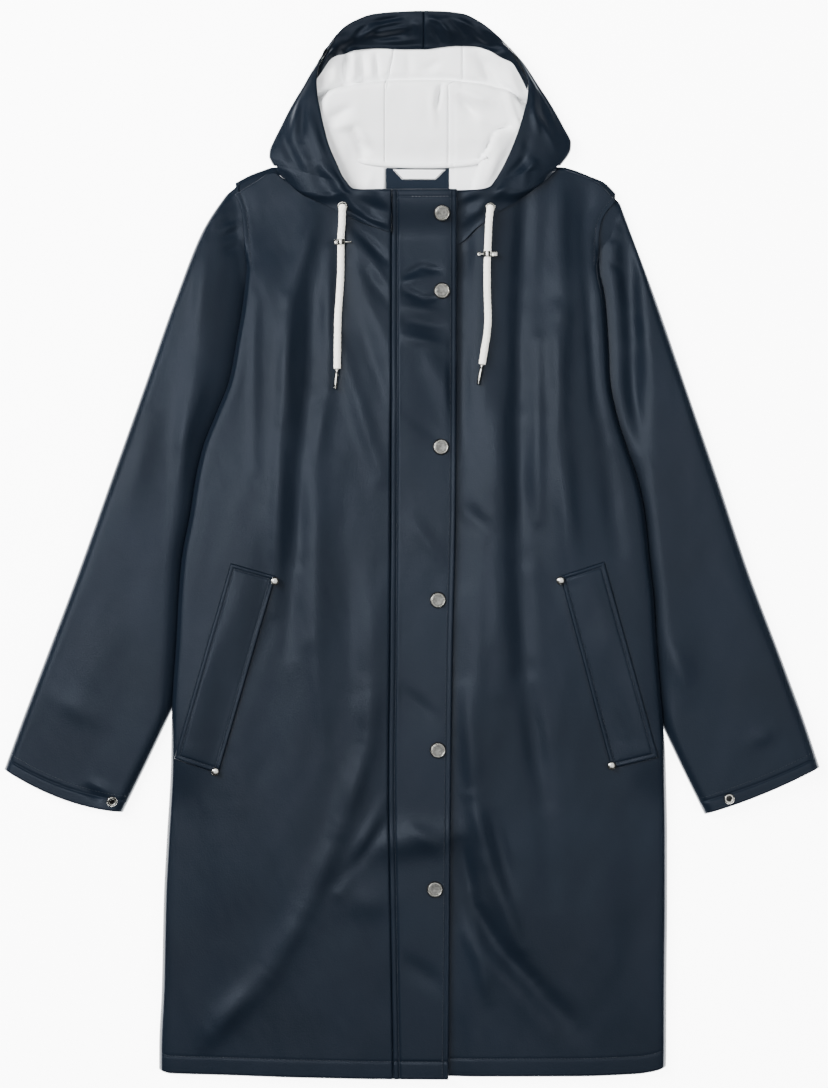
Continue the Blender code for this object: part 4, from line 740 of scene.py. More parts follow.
def hood_side_place(hood_rows, side, height, seed):
    """Half of the hood. across is 0 to 1 on the upper leaf, to 2 round the side and 3 at the lower seam."""
    lines = hood_lines(hood_rows)

    def place(across, row):
        rim_x, rim_y, rim_z, side_x, side_y = (lines[name](row) for name in HoodRow._fields[:5])
        reach_x = side_x - rim_x
        reach_y = side_y - rim_y
        length = np.hypot(reach_x, reach_y)
        collar = ease(row, SHOULDER_ROW, SHOULDER_ROW + 1)
        turn = turn_inset(lines, row)
        inset = turn / length * (1 - collar)
        leaf = np.clip(across, 0, 1) * (1 - inset)
        seam_share = np.clip(across, 0, 1)
        x = rim_x + reach_x * leaf
        y = rim_y + reach_y * leaf
        y = np.where(row > SHOULDER_ROW, mix(rim_y, front_top(x) + SEAM_LAP, seam_share), y)
        edge_x = rim_x + reach_x * (1 - inset)
        edge_y = np.maximum(rim_y + reach_y * (1 - inset), front_top(edge_x))
        side_z = mix(SIDE_HEIGHT, RIM_RISE + 3.6, 1 - ease(row, 0, 4.5))
        side_z = mix(side_z, height(edge_x, edge_y), ease(row, SHOULDER_ROW - 6, SHOULDER_ROW))
        dome = side_z + (rim_z - side_z) * (1 - seam_share**2.6)
        z = mix(dome, height(x, y), ease(row, SHOULDER_ROW + 0.8, SHOULDER_ROW + 2.8))
        from_rim = leaf * length
        detail = (fold_height(HOOD_CREASES, x, y) + 0.8 * cloth_swells(x, y, seed)) * ease(from_rim, 3, 9)
        detail = detail * (1 - ease(seam_share, 0.8, 1.0))
        z = z + detail + rolled(from_rim, 1.6, 2.4)
        angle = math.pi * np.clip(across - 1, 0, 1)
        turn_x = side_x + side * turn * (1 - np.sin(angle) ** 0.55)
        low_z = hood_floor(side_x, side_y, row, 0.0)
        turn_z = mix(low_z, side_z, (1 + np.cos(angle)) / 2)
        in_turn = (across > 1) & (across < 2)
        x = np.where(in_turn, turn_x, x)
        y = np.where(in_turn, side_y, y)
        z = np.where(in_turn, turn_z, z)
        low = lower_leaf(hood_rows, lines, side, row, np.clip(across - 2, 0, 1))
        is_low = across >= 2
        return tuple(np.where(is_low, below_it, above) for below_it, above in zip(low, (x, y, z)))

    return place


def hood_middle(share, row):
    """The hood's middle panel between its two side seams."""
    right_x, left_x = (by_index(rows, "seam_x")(row) for rows in (HOOD_RIGHT_ROWS, HOOD_LEFT_ROWS))
    right_y, left_y = (by_index(rows, "seam_y")(row) for rows in (HOOD_RIGHT_ROWS, HOOD_LEFT_ROWS))
    x = mix(right_x + SEAM_GAP / 2, left_x - SEAM_GAP / 2, share)
    y = mix(right_y, left_y, share)
    neck = ease(row, SHOULDER_ROW - 2, SHOULDER_ROW)
    for end_row, line, strength in ((0, hood_top, 1 - ease(row, 0, 1)), (SHOULDER_ROW, back_top, neck)):
        right_end = HOOD_RIGHT_ROWS[end_row]
        left_end = HOOD_LEFT_ROWS[end_row]
        straight = mix(right_end.seam_y, left_end.seam_y, share)
        y = y + strength * (line(mix(right_end.seam_x, left_end.seam_x, share)) - straight)
    z = hood_floor(x, y, row, np.full_like(x, 100.0))
    return x, y, np.maximum(z + (INSIDE_LIFT + inside_detail(x, y)) * ease(row, 0.1, 0.8), 0.0)


def in_neck(x, y):
    """1 inside the neck opening and 0 away from it."""
    return ease(x, 330, 350) * (1 - ease(x, 500, 520)) * (1 - ease(y, 205, 240))


def back_place(share, down):
    """The back panel: its rolled shoulder strip, up to BACK_ROLL of its length, then its flat body."""
    top_x = mix(235.3, 615.7, share)
    top_y = back_top(top_x) + SEAM_GAP / 2
    shoulder = np.maximum(1 - ease(top_x, 278, 296), ease(top_x, 540, 558))
    hem_x = mix(body_left(1075), body_right(1075), share)
    hem_y = hem(hem_x) - BACK_SHORTER
    body = np.clip((down - BACK_ROLL) / (1 - BACK_ROLL), 0, 1)
    roll = np.clip(down / BACK_ROLL, 0, 1)
    y = mix(top_y + 4.5, hem_y, body)
    inset = 4.0 - 2.5 * ease(y, 270, 310)
    x = mix(body_left(y) + inset, body_right(y) - inset, share)
    x = mix(top_x, x, ease(down, 0.01, 0.04))
    z = back_lift(x, y)
    seam_y = front_top(top_x) + SEAM_LAP
    seam_z = front_height(top_x, seam_y) - LAP_GAP
    keys = np.array([0.0, 1 / 3, 2 / 3, 1.0])
    roll_y = np.stack(
        [
            mix(top_y, seam_y, shoulder), mix(top_y + 1.2, top_y + 1.0, shoulder),
            mix(top_y + 2.6, top_y + 1.0, shoulder), top_y + 4.5,
        ]
    )
    roll_z = np.stack([seam_z * shoulder, (seam_z - 1.2) * shoulder, 1.6 * shoulder, np.zeros_like(shoulder)])
    k = np.clip(np.searchsorted(keys, roll, side="right") - 1, 0, 2)
    t = (roll - keys[k]) * 3
    index = np.arange(len(k))
    y = np.where(roll < 1, mix(roll_y[k, index], roll_y[k + 1, index], t), y)
    z = np.where(roll < 1, mix(roll_z[k, index], roll_z[k + 1, index], t), z)
    return x, y, z + inside_step(x, y) * in_neck(x, y)


def neck_inside(x, y):
    """The inner side of the back panel near the neck."""
    return CLOTH + inside_step(x, y) * in_neck(x, y)


def new_node(tree, kind, place, inputs=None, **settings):
    """A shader node at this place, with these settings and these values on its inputs."""
    node = tree.nodes.new(kind)
    node.location = place
    for name, value in settings.items():
        setattr(node, name, value)
    for name, value in (inputs or {}).items():
        node.inputs[name].default_value = value
    return node


def join(tree, *links):
    """Joins each output socket to its input socket."""
    for source, target in links:
        tree.links.new(source, target)


def group_tree(name, inputs, outputs):
    """A shader node group with these named sockets and a Vector. inputs holds (name, default) pairs."""
    tree = bpy.data.node_groups.new(name, "ShaderNodeTree")
    tree.interface.new_socket("Vector", in_out="INPUT", socket_type="NodeSocketVector")
    for socket_name, default in inputs:
        socket = tree.interface.new_socket(socket_name, in_out="INPUT", socket_type="NodeSocketFloat")
        socket.default_value = default
    for socket_name in outputs:
        tree.interface.new_socket(socket_name, in_out="OUTPUT", socket_type="NodeSocketFloat")
    start = new_node(tree, "NodeGroupInput", (-900, 0))
    end = new_node(tree, "NodeGroupOutput", (700, 0))
    return tree, start.outputs, end.inputs


def make_grain_group():
    """Pebbled grain and a slow cloudiness. Grain is a height, and Cloud and Fine are tones."""
    scales = [("Grain Scale", 620.0), ("Cloud Scale", 9.0)]
    tree, given, results = group_tree("coat_grain", scales, ["Grain", "Cloud", "Fine"])
    cells = new_node(tree, "ShaderNodeTexVoronoi", (-600, 200), {"Smoothness": 0.6}, feature="SMOOTH_F1")
    clouds = new_node(tree, "ShaderNodeTexNoise", (-600, -100), {"Detail": 3.0})
    fine = new_node(tree, "ShaderNodeTexNoise", (-600, -350), {"Detail": 4.0})
    for node, scale, tone, result in (
        (cells, "Grain Scale", "Distance", "Grain"), (clouds, "Cloud Scale", "Fac", "Cloud"),
        (fine, "Grain Scale", "Fac", "Fine"),
    ):
        join(
            tree, (given["Vector"], node.inputs["Vector"]), (given[scale], node.inputs["Scale"]),
            (node.outputs[tone], results[result]),
        )
    return tree


def make_weave_group():
    """Two crossing sets of ribs, as in a knit back, a woven tape or a braid."""
    scales = [("Rib Scale", 380.0), ("Course Scale", 300.0)]
    tree, given, results = group_tree("cloth_weave", scales, ["Height", "Tone"])
    both = new_node(tree, "ShaderNodeMath", (-300, 100), operation="MULTIPLY")
    for k, (scale, direction) in enumerate((("Rib Scale", "X"), ("Course Scale", "Y"))):
        waver = {"Distortion": 0.6, "Detail": 1.0}
        ribs = new_node(tree, "ShaderNodeTexWave", (-600, 200 - 300 * k), waver, bands_direction=direction)
        join(
            tree, (given["Vector"], ribs.inputs["Vector"]), (given[scale], ribs.inputs["Scale"]),
            (ribs.outputs["Fac"], both.inputs[k]),
        )
    cloud = new_node(tree, "ShaderNodeTexNoise", (-600, -400), {"Scale": 14.0, "Detail": 3.0})
    join(
        tree, (given["Vector"], cloud.inputs["Vector"]), (both.outputs["Value"], results["Height"]),
        (cloud.outputs["Fac"], results["Tone"]),
    )
    return tree


GROUP_MAKERS = {"coat_grain": make_grain_group, "cloth_weave": make_weave_group}


def toned_material(name, group_name, scales, tone, dark, light, values):
    """A material whose colour runs from dark to light with a tone of a shared group."""
    material = bpy.data.materials.new(name)
    material.use_nodes = True
    tree = material.node_tree
    shader = tree.nodes["Principled BSDF"]
    for socket, value in values.items():
        shader.inputs[socket].default_value = value
    shared = bpy.data.node_groups.get(group_name) or GROUP_MAKERS[group_name]()
    group = new_node(tree, "ShaderNodeGroup", (-850, 0), scales, node_tree=shared)
    coordinates = new_node(tree, "ShaderNodeTexCoord", (-1100, 0))
    ramp = new_node(tree, "ShaderNodeValToRGB", (-550, 250))
    for element, position, colour in zip(ramp.color_ramp.elements, (TONE_LOW, TONE_HIGH), (dark, light)):
        element.position = position
        element.color = (*colour, 1)
    join(
        tree, (coordinates.outputs["Object"], group.inputs["Vector"]),
        (group.outputs[tone], ramp.inputs["Fac"]), (ramp.outputs["Color"], shader.inputs["Base Color"]),
    )
    return material, tree, group.outputs, shader.inputs


def rough_between(tree, tone, shader, low, high):
    """Roughness runs from low to high with the tone."""
    limits = {"From Min": TONE_LOW, "From Max": TONE_HIGH, "To Min": low, "To Max": high}
    spread = new_node(tree, "ShaderNodeMapRange", (-550, -50), limits)
    join(tree, (tone, spread.inputs["Value"]), (spread.outputs["Result"], shader["Roughness"]))


def bump(tree, height, shader, depth):
    """The surface rises and falls with the height, by this depth in millimetres."""
    node = new_node(tree, "ShaderNodeBump", (-350, -350), {"Strength": 1.0, "Distance": depth * MM})
    join(tree, (height, node.inputs["Height"]), (node.outputs["Normal"], shader["Normal"]))


def shade(colour, factor):
    return tuple(min(1.0, part * factor) for part in colour)


def coated_material(name, colour, low, high, grain):
    """The satin coating of the outer side, with its pebbled grain."""
    values = {"Roughness": low, "Specular IOR Level": 0.26, "Specular Tint": (0.75, 0.845, 1.0, 1.0)}
    scales = {"Grain Scale": 620.0, "Cloud Scale": 9.0}
    dark, light = shade(colour, 0.86), shade(colour, 1.14)
    material, tree, found, shader = toned_material(name, "coat_grain", scales, "Cloud", dark, light, values)
    rough_between(tree, found["Fine"], shader, low, high)
    bump(tree, found["Grain"], shader, grain)
    return material


def knit_material(name, colour, rib, depth):
    """Knitted, woven and braided cloth and thread, by the scale and depth of its ribs."""
    values = {"Roughness": 0.86, "Sheen Weight": 0.15, "Sheen Roughness": 0.5}
    scales = {"Rib Scale": rib, "Course Scale": rib * 0.8}
    dark, light = shade(colour, 0.95), shade(colour, 1.02)
    material, tree, found, shader = toned_material(name, "cloth_weave", scales, "Tone", dark, light, values)
    bump(tree, found["Height"], shader, depth)
    return material


def metal_material(name, colour, low, high, spots=160.0, depth=0.8):
    """Plated metal with cloudy spots, which darken the colour to this share."""
    values = {"Roughness": low, "Metallic": 1.0}
    scales = {"Grain Scale": 1400.0, "Cloud Scale": spots}
    dark = shade(colour, depth)
    material, tree, found, shader = toned_material(name, "coat_grain", scales, "Cloud", dark, colour, values)
    rough_between(tree, found["Fine"], shader, low, high)
    bump(tree, found["Fine"], shader, 0.03)
    return material


def floor_material(colour, glow):
    """The pale floor, which glows evenly."""
    values = {
        "Roughness": 0.9, "Emission Color": (*colour, 1), "Emission Strength": glow,
        "Specular IOR Level": 0.0,
    }
    scales = {"Grain Scale": 40.0, "Cloud Scale": 1.2}
    return toned_material(
        "studio_floor", "coat_grain", scales, "Cloud", shade(colour, 0.985), colour, values,
    )[0]


def finish_named(name):
    """One of the coat's materials, made the first time that it is asked for."""
    found = bpy.data.materials.get(name)
    if found:
        return found
    colours = bpy.context.scene.raincoat_colours
    surface = bpy.context.scene.raincoat_cloth
    navy, white, nickel = tuple(colours.coating), tuple(colours.lining), tuple(colours.nickel)
    kind, *values = {
        "navy_coating": (coated_material, navy, surface.gloss_low, surface.gloss_high, surface.grain),
        "facing_cloth": (coated_material, shade(navy, 0.8), 0.34, 0.42, surface.grain),
        "neck_cloth": (coated_material, shade(navy, 1.5), 0.5, 0.6, surface.grain),
        "knit_back": (knit_material, white, 380.0, 0.05),
        "woven_label": (knit_material, shade(white, 0.98), 900.0, 0.04),
        "label_border": (knit_material, (0.03, 0.035, 0.04), 900.0, 0.04),
        "seam_thread": (knit_material, shade(navy, 1.5), 1500.0, 0.03),
        "top_thread": (knit_material, (0.06, 0.065, 0.075), 1500.0, 0.03),
        "cotton_braid": (knit_material, tuple(colours.cord), 1100.0, 0.05),
        "worn_nickel": (metal_material, shade(nickel, 0.55), 0.3, 0.5, 520.0, 0.35),
        "bright_nickel": (metal_material, shade(nickel, 1.25), 0.14, 0.22),
        # Near-black metal: the cuff snaps' cups, and the low rim round each placket snap cap, where the dark
        # colour is a painted shadow
        "dark_metal": (metal_material, (0.05, 0.05, 0.05), 0.3, 0.45),
    }[name]
    return kind(name, *values)


def add_object(name, data):
    obj = bpy.data.objects.new(name, data)
    bpy.context.scene.collection.objects.link(obj)
    return obj


def add_piece(name, mesh, finishes, replaced=()):
    """A piece of the coat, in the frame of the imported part. It rides on the part's one body."""
    if bpy.data.objects.get(name):
        raise RuntimeError(f"{name} is there already")
    obj = add_object(name, mesh)
    for finish in finishes:
        obj.data.materials.append(finish_named(finish))
    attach(obj, "root")
    if replaced:
        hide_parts(*replaced)
    return obj


def add_cloth(name, mesh, node, finishes, wall, cut, with_pieces=()):
    """A cloth piece with its wall. mesh is its outer side, and cut its flat (width, length) in metres."""
    area = sum(face.area for face in mesh.polygons)
    obj = add_piece(name, mesh, finishes, (node,))
    solidify = obj.modifiers.new("wall", "SOLIDIFY")
    solidify.thickness = wall * MM
    solidify.offset = -1.0
    solidify.material_offset = 1 if len(finishes) > 1 else 0
    solidify.material_offset_rim = 0
    share = area / (cut[0] * cut[1])
    if not 0.3 <= share <= 1.0:
        raise RuntimeError(f"{name}: {area:.4f} square metres don't fit in a cut of {cut}, share {share:.3f}")


def add_coated(name, mesh, node, wall, cut, *rests_on):
    """A piece of the coated cloth, dark outside and white knit inside."""
    add_cloth(name, mesh, node, ["navy_coating", "knit_back"], wall, cut)


class Surface:
    """The upper side of some pieces, to lay stitches and fittings on."""

    def __init__(self, *names):
        bm = bmesh.new()
        for name in names:
            obj = bpy.data.objects.get(name)
            if obj is None:
                raise RuntimeError(f"make {name} first")
            bm.from_mesh(obj.data)
        self.tree = BVHTree.FromBMesh(bm)
        bm.free()

    def at(self, x, y):
        """(height, normal) of the highest place here, in millimetres."""
        hit, normal, _, _ = self.tree.ray_cast(world(x, y, RAY_START), DOWN)
        if hit is None:
            return None
        return hit.z / MM, normal if normal.z > 0 else -normal


def made_mesh(name, bm):
    """The finished mesh, shaded smooth."""
    mesh = bpy.data.meshes.new(name)
    bm.to_mesh(mesh)
    bm.free()
    mesh.shade_smooth()
    return mesh


def tube_mesh(name, rings):
    """A closed tube through rings of points."""
    bm = bmesh.new()
    rows = [[bm.verts.new(point) for point in ring] for ring in rings]
    for upper, lower in zip(rows, rows[1:]):
        for k in range(len(upper)):
            after = (k + 1) % len(upper)
            bm.faces.new((upper[k], upper[after], lower[after], lower[k]))
    bm.faces.new(rows[0])
    bm.faces.new(list(reversed(rows[-1])))
    bmesh.ops.recalc_face_normals(bm, faces=bm.faces)
    return made_mesh(name, bm)


def joined_copies(name, template, places):
    """One mesh of many copies of a template mesh, one for each 4x4 matrix in places."""
    count = len(template.vertices)
    base = np.empty(3 * count, np.float32)
    template.vertices.foreach_get("co", base)
    base = np.concatenate([base.reshape(-1, 3), np.ones((count, 1))], axis=1)
    faces = [tuple(face.vertices) for face in template.polygons]
    points = (base @ np.array(places).transpose(0, 2, 1))[:, :, :3].reshape(-1, 3)
    all_faces = [tuple(v + k * count for v in face) for k in range(len(places)) for face in faces]
    mesh = bpy.data.meshes.new(name)
    mesh.from_pydata(points.tolist(), [], all_faces)
    mesh.shade_smooth()
    return mesh


def stitch_template(length, width):
    """One small rounded stitch, by its size in millimetres."""
    bm = bmesh.new()
    bmesh.ops.create_icosphere(bm, subdivisions=1, radius=0.5)
    bmesh.ops.scale(bm, vec=Vector((length * MM, width * MM, width * MM)), verts=bm.verts)
    return made_mesh("stitch", bm)


def line_points(line, step):
    """Places every step millimetres along a line of points, with the direction there."""
    line = [tuple(map(float, point)) for point in line]
    spans = [math.hypot(b[0] - a[0], b[1] - a[1]) for a, b in zip(line, line[1:])]
    along = np.concatenate([[0.0], np.cumsum(spans)])
    count = max(2, int(along[-1] / step))
    at = (np.arange(count) + 0.5) * along[-1] / count
    places, ahead = [], []
    for values in zip(*line):
        places.append(np.interp(at, along, values))
        ahead.append(np.interp(at + 0.5, along, values) - np.interp(at - 0.5, along, values))
    return zip(*places, *ahead)


def turned(direction, place, axis="Z", up="Y"):
    """The matrix that turns this axis to a direction and moves the middle to a place."""
    turn = direction.to_track_quat(axis, up).to_matrix().to_4x4()
    turn.translation = place
    return turn


def add_stitches(name, lines, surface, finish="seam_thread"):
    """Rows of lock stitches along these lines of sheet places, lying on the surface, as one piece."""
    stitch_length = bpy.context.scene.raincoat_cloth.stitch_length
    template = stitch_template(stitch_length * 0.8 / MM, THREAD_WIDTH)
    places = []
    for line in lines:
        for x, y, dx, dy in line_points(line, stitch_length / MM):
            found = surface.at(x, y)
            if found is None:
                continue
            z, normal = found
            ahead = Vector((dx, -dy, 0))
            ahead = (ahead - normal * ahead.dot(normal)).normalized()
            turn = Matrix((ahead, normal.cross(ahead), normal)).transposed().to_4x4()
            turn.translation = world(x, y, z) + normal * STITCH_RISE * MM
            places.append(np.array(turn))
    return add_piece(name, joined_copies(name, template, places), [finish])


def lathe(name, profile, steps=48):
    """A turned piece from (radius, height) pairs in millimetres, which start at its top."""
    bm = bmesh.new()
    angles = [2 * math.pi * k / steps for k in range(steps)]
    rings = []
    for radius, height in profile:
        if radius < 1e-6:
            rings.append([bm.verts.new((0, 0, height * MM))])
            continue
        ring = [
            (radius * math.cos(angle) * MM, radius * math.sin(angle) * MM, height * MM) for angle in angles
        ]
        rings.append([bm.verts.new(point) for point in ring])
    for upper, lower in zip(rings, rings[1:]):
        for k in range(steps):
            after = (k + 1) % steps
            if len(upper) == 1:
                bm.faces.new((upper[0], lower[k], lower[after]))
            elif len(lower) == 1:
                bm.faces.new((upper[after], upper[k], lower[0]))
            else:
                bm.faces.new((upper[k], lower[k], lower[after], upper[after]))
    bmesh.ops.recalc_face_normals(bm, faces=bm.faces)
    return made_mesh(name, bm)


def rounded_profile(profile, radius=0.25, cuts=3):
    """The same (radius, height) line with each inner corner rounded off."""
    points = [profile[0]]
    corners = [np.array(point) for point in profile]
    for before, corner, after in zip(corners, corners[1:], corners[2:]):
        a = corner - before
        b = after - corner
        reach = min(radius, 0.45 * np.hypot(*a), 0.45 * np.hypot(*b))
        start = corner - a / np.hypot(*a) * reach
        end = corner + b / np.hypot(*b) * reach
        for t in np.linspace(0, 1, cuts + 1):
            bend = (1 - t) ** 2 * start + 2 * t * (1 - t) * corner + t**2 * end
            points.append((float(bend[0]), float(bend[1])))
    points.append(profile[-1])
    return points


def stand(obj, seat, z):
    """Sets a fitting on its seat at this height, with its upward direction leaning as the seat does."""
    up = Vector((seat.lean_x, seat.lean_y, math.sqrt(1 - seat.lean_x**2 - seat.lean_y**2)))
    obj.data.transform(turned(up, world(seat.x, seat.y, z)))


def settled(surface, seat, radius):
    """The height of a fitting that is pressed a little into the cloth, but not through it."""
    found = [surface.at(seat.x, seat.y)]
    for k in range(12):
        angle = 2 * math.pi * k / 12
        found.append(surface.at(seat.x + radius * math.cos(angle), seat.y + radius * math.sin(angle)))
    heights = [hit[0] for hit in found if hit]
    if not heights:
        raise RuntimeError(f"{seat.name} has no cloth under it")
    return mix(float(np.mean(heights)), max(heights), 0.65) + 0.15


def add_fitting(seat, name, mesh, finish, height):
    """A turned fitting that stands on its seat."""
    stand(add_piece(name, mesh, [finish], (seat.name,)), seat, height)


def colour_setting(name, description, default):
    return FloatVectorProperty(
        name=name, description=description, default=default, subtype="COLOR", min=0.0, max=1.0,
    )


def length_setting(name, description, default, low, high):
    return FloatProperty(
        name=name, description=description, default=default, min=low, max=high, subtype="DISTANCE",
        unit="LENGTH",
    )


def gloss_setting(name, description, default):
    return FloatProperty(
        name=name, description=description, default=default, min=0.05, max=1.0, subtype="FACTOR",
    )


def strength_setting(name, description, default):
    return FloatProperty(name=name, description=description, default=default, min=0.0)


class RaincoatCloth(bpy.types.PropertyGroup):
    """Sizes of the cloth and of its sewing."""

    wall: FloatProperty(
        name="Cloth thickness", description="Thickness of the coated cloth, in millimetres", default=1.1,
        min=0.4, max=1.3,
    )
    grain: FloatProperty(
        name="Grain depth", description="Depth of the coating's pebbled grain, in millimetres", default=0.05,
        min=0.0, max=0.3,
    )
    gloss_low: gloss_setting(
        "Roughness, smooth places", "Roughness of the coating where it is smoothest", 0.30,
    )
    gloss_high: gloss_setting("Roughness, dull places", "Roughness of the coating where it is dullest", 0.36)
    stitch_length: length_setting(
        "Stitch length", "Distance from one stitch to the next", 0.0032, 0.002, 0.006,
    )


class RaincoatColours(bpy.types.PropertyGroup):
    """Colours of the coat's finishes."""

    coating: colour_setting("Coating", "Colour of the coated outer side", (0.0033, 0.0053, 0.0090))
    lining: colour_setting("Knit back", "Colour of the cloth's knitted inner side", (0.86, 0.87, 0.88))
    cord: colour_setting("Drawstring", "Colour of the braided drawstring", (0.88, 0.86, 0.79))
    nickel: colour_setting("Nickel", "Colour of the plated fittings", (0.66, 0.66, 0.62))


class RaincoatDrawstring(bpy.types.PropertyGroup):
    """Sizes of the drawstring."""

    width: length_setting("Cord width", "Width of the braided cord as it lies", 0.0070, 0.004, 0.0072)
    height: length_setting(
        "Cord height", "Height of the cord, which lies a little flattened", 0.0062, 0.004, 0.0068,
    )
    strands: IntProperty(
        name="Strands", description="Strands that run each way round the braid", default=6, min=3, max=12,
    )


class RaincoatStage(bpy.types.PropertyGroup):
    """The studio round the coat."""

    camera_height: length_setting("Camera height", "Height of the camera above the floor", 3.032, 1.0, 6.0)
    key_power: strength_setting("Key light", "Power of the large soft light on the left, in watts", 600.0)
    fill_power: strength_setting("Fill light", "Power of the soft light on the right, in watts", 190.0)
    top_power: strength_setting("Overhead light", "Power of the wide light overhead, in watts", 30.0)
    window_power: strength_setting(
        "Window light", "Power of the brighter strip at the upper left, which picks out the folds, in watts",
        48.0,
    )
    sky: strength_setting("Room light", "Strength of the even light from the room", 0.03)
    floor_glow: strength_setting(
        "Floor glow", "Strength of the light that comes up through the pale floor", 8.0,
    )


CordPoint = namedtuple("CordPoint", "x y z")
CORD_RIGHT = named_rows(CordPoint, (
    (342.7, 204.9, 18.7), (342.5, 212, 18.6), (342.23, 223.19, 17.7), (341.07, 239.37, 16.32),
    (341, 255.59, 15.42), (340.87, 271.8, 15.33), (340.09, 288, 15.27), (338.98, 304.18, 15.32),
    (337.95, 320.36, 15.38), (337.72, 336.57, 15.73), (337.55, 352.79, 16.05), (337.4, 369, 16.37),
))
CORD_LEFT = named_rows(CordPoint, (
    (490.3, 205.6, 19.3), (489.6, 213, 19.1), (488.69, 223.64, 18.2), (487.98, 239.33, 16.6),
    (487.39, 255.03, 15.91), (487, 270.72, 15.54), (487, 286.43, 15.28), (487.47, 302.12, 15.03),
    (487.9, 317.81, 15.03), (486.96, 333.48, 15.02), (484.44, 348.99, 14.98), (482, 364.5, 14.94),
))

CORD_STEP = 0.55
STOP_BORE = 3.62
STOP_HALF_LENGTH = 3.1
STOP_RIGHT = CordPoint(341.06, 242.5, 16.15)
STOP_LEFT = CordPoint(487.41, 254.5, 15.93)
# Bars and pins beside each stop: their near and far end from its middle, and their breadth
STOP_BARS_RIGHT = ((-3.8, -6.7, 5.2), (3.8, 9.2, 1.3), (9.0, 10.6, 2.0))
STOP_BARS_LEFT = ((-3.8, -9.8, 2.4), (-6.6, -10.4, 4.6), (3.8, 9.9, 5.4))

# Turned fittings as (radius, height) pairs
TIP_PROFILE = (
    (0.0, 10.2), (1.2, 10.2), (1.9, 9.6), (2.0, 8.0), (1.75, 7.4), (1.75, 6.9), (2.0, 6.3), (2.0, -5.5),
    (1.75, -6.1), (1.75, -6.6), (2.0, -7.2), (2.0, -9.4), (1.6, -10.0), (0.0, -10.1),
)
SNAP_DISC = 5.7
# Past this radius the cap's low rim on the cloth takes the near-black finish, a painted shadow round the cap
SNAP_RADIUS = 7.45
SNAP_PROFILE = (
    (0.0, 1.55), (2.0, 1.6), (5.2, 1.8), (SNAP_DISC, 1.7), (6.0, 1.25), (6.25, 1.8), (6.5, 2.25), (6.9, 2.3),
    (7.25, 1.9), (SNAP_RADIUS, 1.1), (7.6, 0.45), (8.2, 0.4), (8.3, -0.1), (0.0, -0.2),
)
CUFF_RING_PROFILE = (
    (2.3, 0.2), (2.3, 1.2), (2.9, 1.9), (4.2, 2.0), (5.1, 1.5), (5.5, 0.6), (5.4, -0.1), (2.3, -0.1),
    (2.3, 0.2),
)
CUFF_CUP_PROFILE = ((0.0, 1.3), (0.5, 1.2), (0.7, 0.5), (2.3, 0.45), (2.3, -0.1), (0.0, -0.1))
RIVET_RADIUS = 4.25
Seat = namedtuple("Seat", "name x y z lean_x lean_y")
SNAP_SEATS = named_rows(Seat, (
    ("snap_1", 442, 214.05, 17.38, 0, -0.155), ("snap_2", 442, 291, 12.59, 0, 0),
    ("snap_3", 441, 447, 12.65, -0.007, 0), ("snap_4", 438, 600, 12.59, 0, 0),
    ("snap_5", 438, 750, 12.59, 0, 0), ("snap_6", 435, 889, 12.59, 0.014, 0),
))
RIVET_SEATS = named_rows(Seat, (
    ("rivet_right_top", 275.25, 581.05, 14.92, 0.091, -0.018),
    ("rivet_right_bottom", 215.51, 771.51, 13.28, 0.026, -0.025),
    ("rivet_left_top", 560.33, 580.57, 14.33, -0.062, -0.028),
    ("rivet_left_bottom", 611.49, 765.5, 12.29, -0.039, -0.014),
))
CUFF_SNAP_SEATS = named_rows(Seat, (
    ("cuff_snap_right", 112.11, 801.07, 12.39, 0.221, -0.131),
    ("cuff_snap_left", 729, 798.5, 13.22, -0.009, -0.004),
))
EYELET_SEATS = named_rows(Seat, (
    ("eyelet_right", 342.6, 207, 14.6, -0.066, -0.123), ("eyelet_left", 490.2, 208, 15.1, 0.12, -0.174),
))

HOOD_NECK_WELT = (
    (357.6, 159.6), (368, 161.8), (385, 163.8), (404, 164.8), (421.7, 165.2), (445, 164.8), (465, 163.4),
    (478, 160.8), (486.5, 156.5),
)
FACING_BOTTOM = (
    (315.5, 80.5), (322, 72), (331, 60), (337, 56.5), (345, 53.5), (358, 50), (380, 48), (402, 49), (424, 49),
    (440, 47), (458, 45.5), (475, 46), (488, 50), (500, 57), (512, 63), (518, 72), (527, 90),
)
FACING_TOP = (
    (313.8, 77.0), (316.2, 66), (322.6, 55), (328.6, 46), (334.4, 37.8), (345, 27.0), (356, 20.7),
    (372, 15.2), (398, 12.6), (424, 11.8), (442, 12.2), (464, 14.8), (477, 20.7), (487.5, 27.5),
    (501.0, 39.6), (510.6, 50), (530, 76),
)
FACING_SEAM_X = 424.0
# The dark neck facing runs up under the neck welt. The dark strip it shows between the welt and the label is
# its own top edge and also a painted shadow under the welt.
NECK_PATCH = ((386, 166.8), (449, 167.2), (449, 212), (386, 212))
LABEL_CORNERS = ((392.8, 168.8), (445.8, 169.0), (435.6, 179.0), (402.4, 179.0))
LABEL_LINE = ((394.2, 169.4), (402.9, 178.4), (435.1, 178.4), (444.2, 169.6))
LABEL_LIFT = 2.5
LABEL_BOW = 0.7
FACING_WALL = 0.7
WELT_SIDES = 14
WELT_WIDTH = 46
WELT_LENGTH = 205
WELT_STITCH = 4.6
WELT_CORNERS = {
    "right": ((231, 563), (276, 576), (218.5, 773.5), (174.5, 758.5)),
    "left": ((560, 576), (604, 561.5), (658, 757), (611.5, 768.5)),
}


def area_light(name, place, target, width, length, power):
    data = bpy.data.lights.new(name, "AREA")
    data.shape = "RECTANGLE"
    data.size = width
    data.size_y = length
    data.energy = power
    light = add_object(name, data)
    light.location = place
    light.rotation_euler = (Vector(target) - Vector(place)).to_track_quat("-Z", "Y").to_euler()
    return light


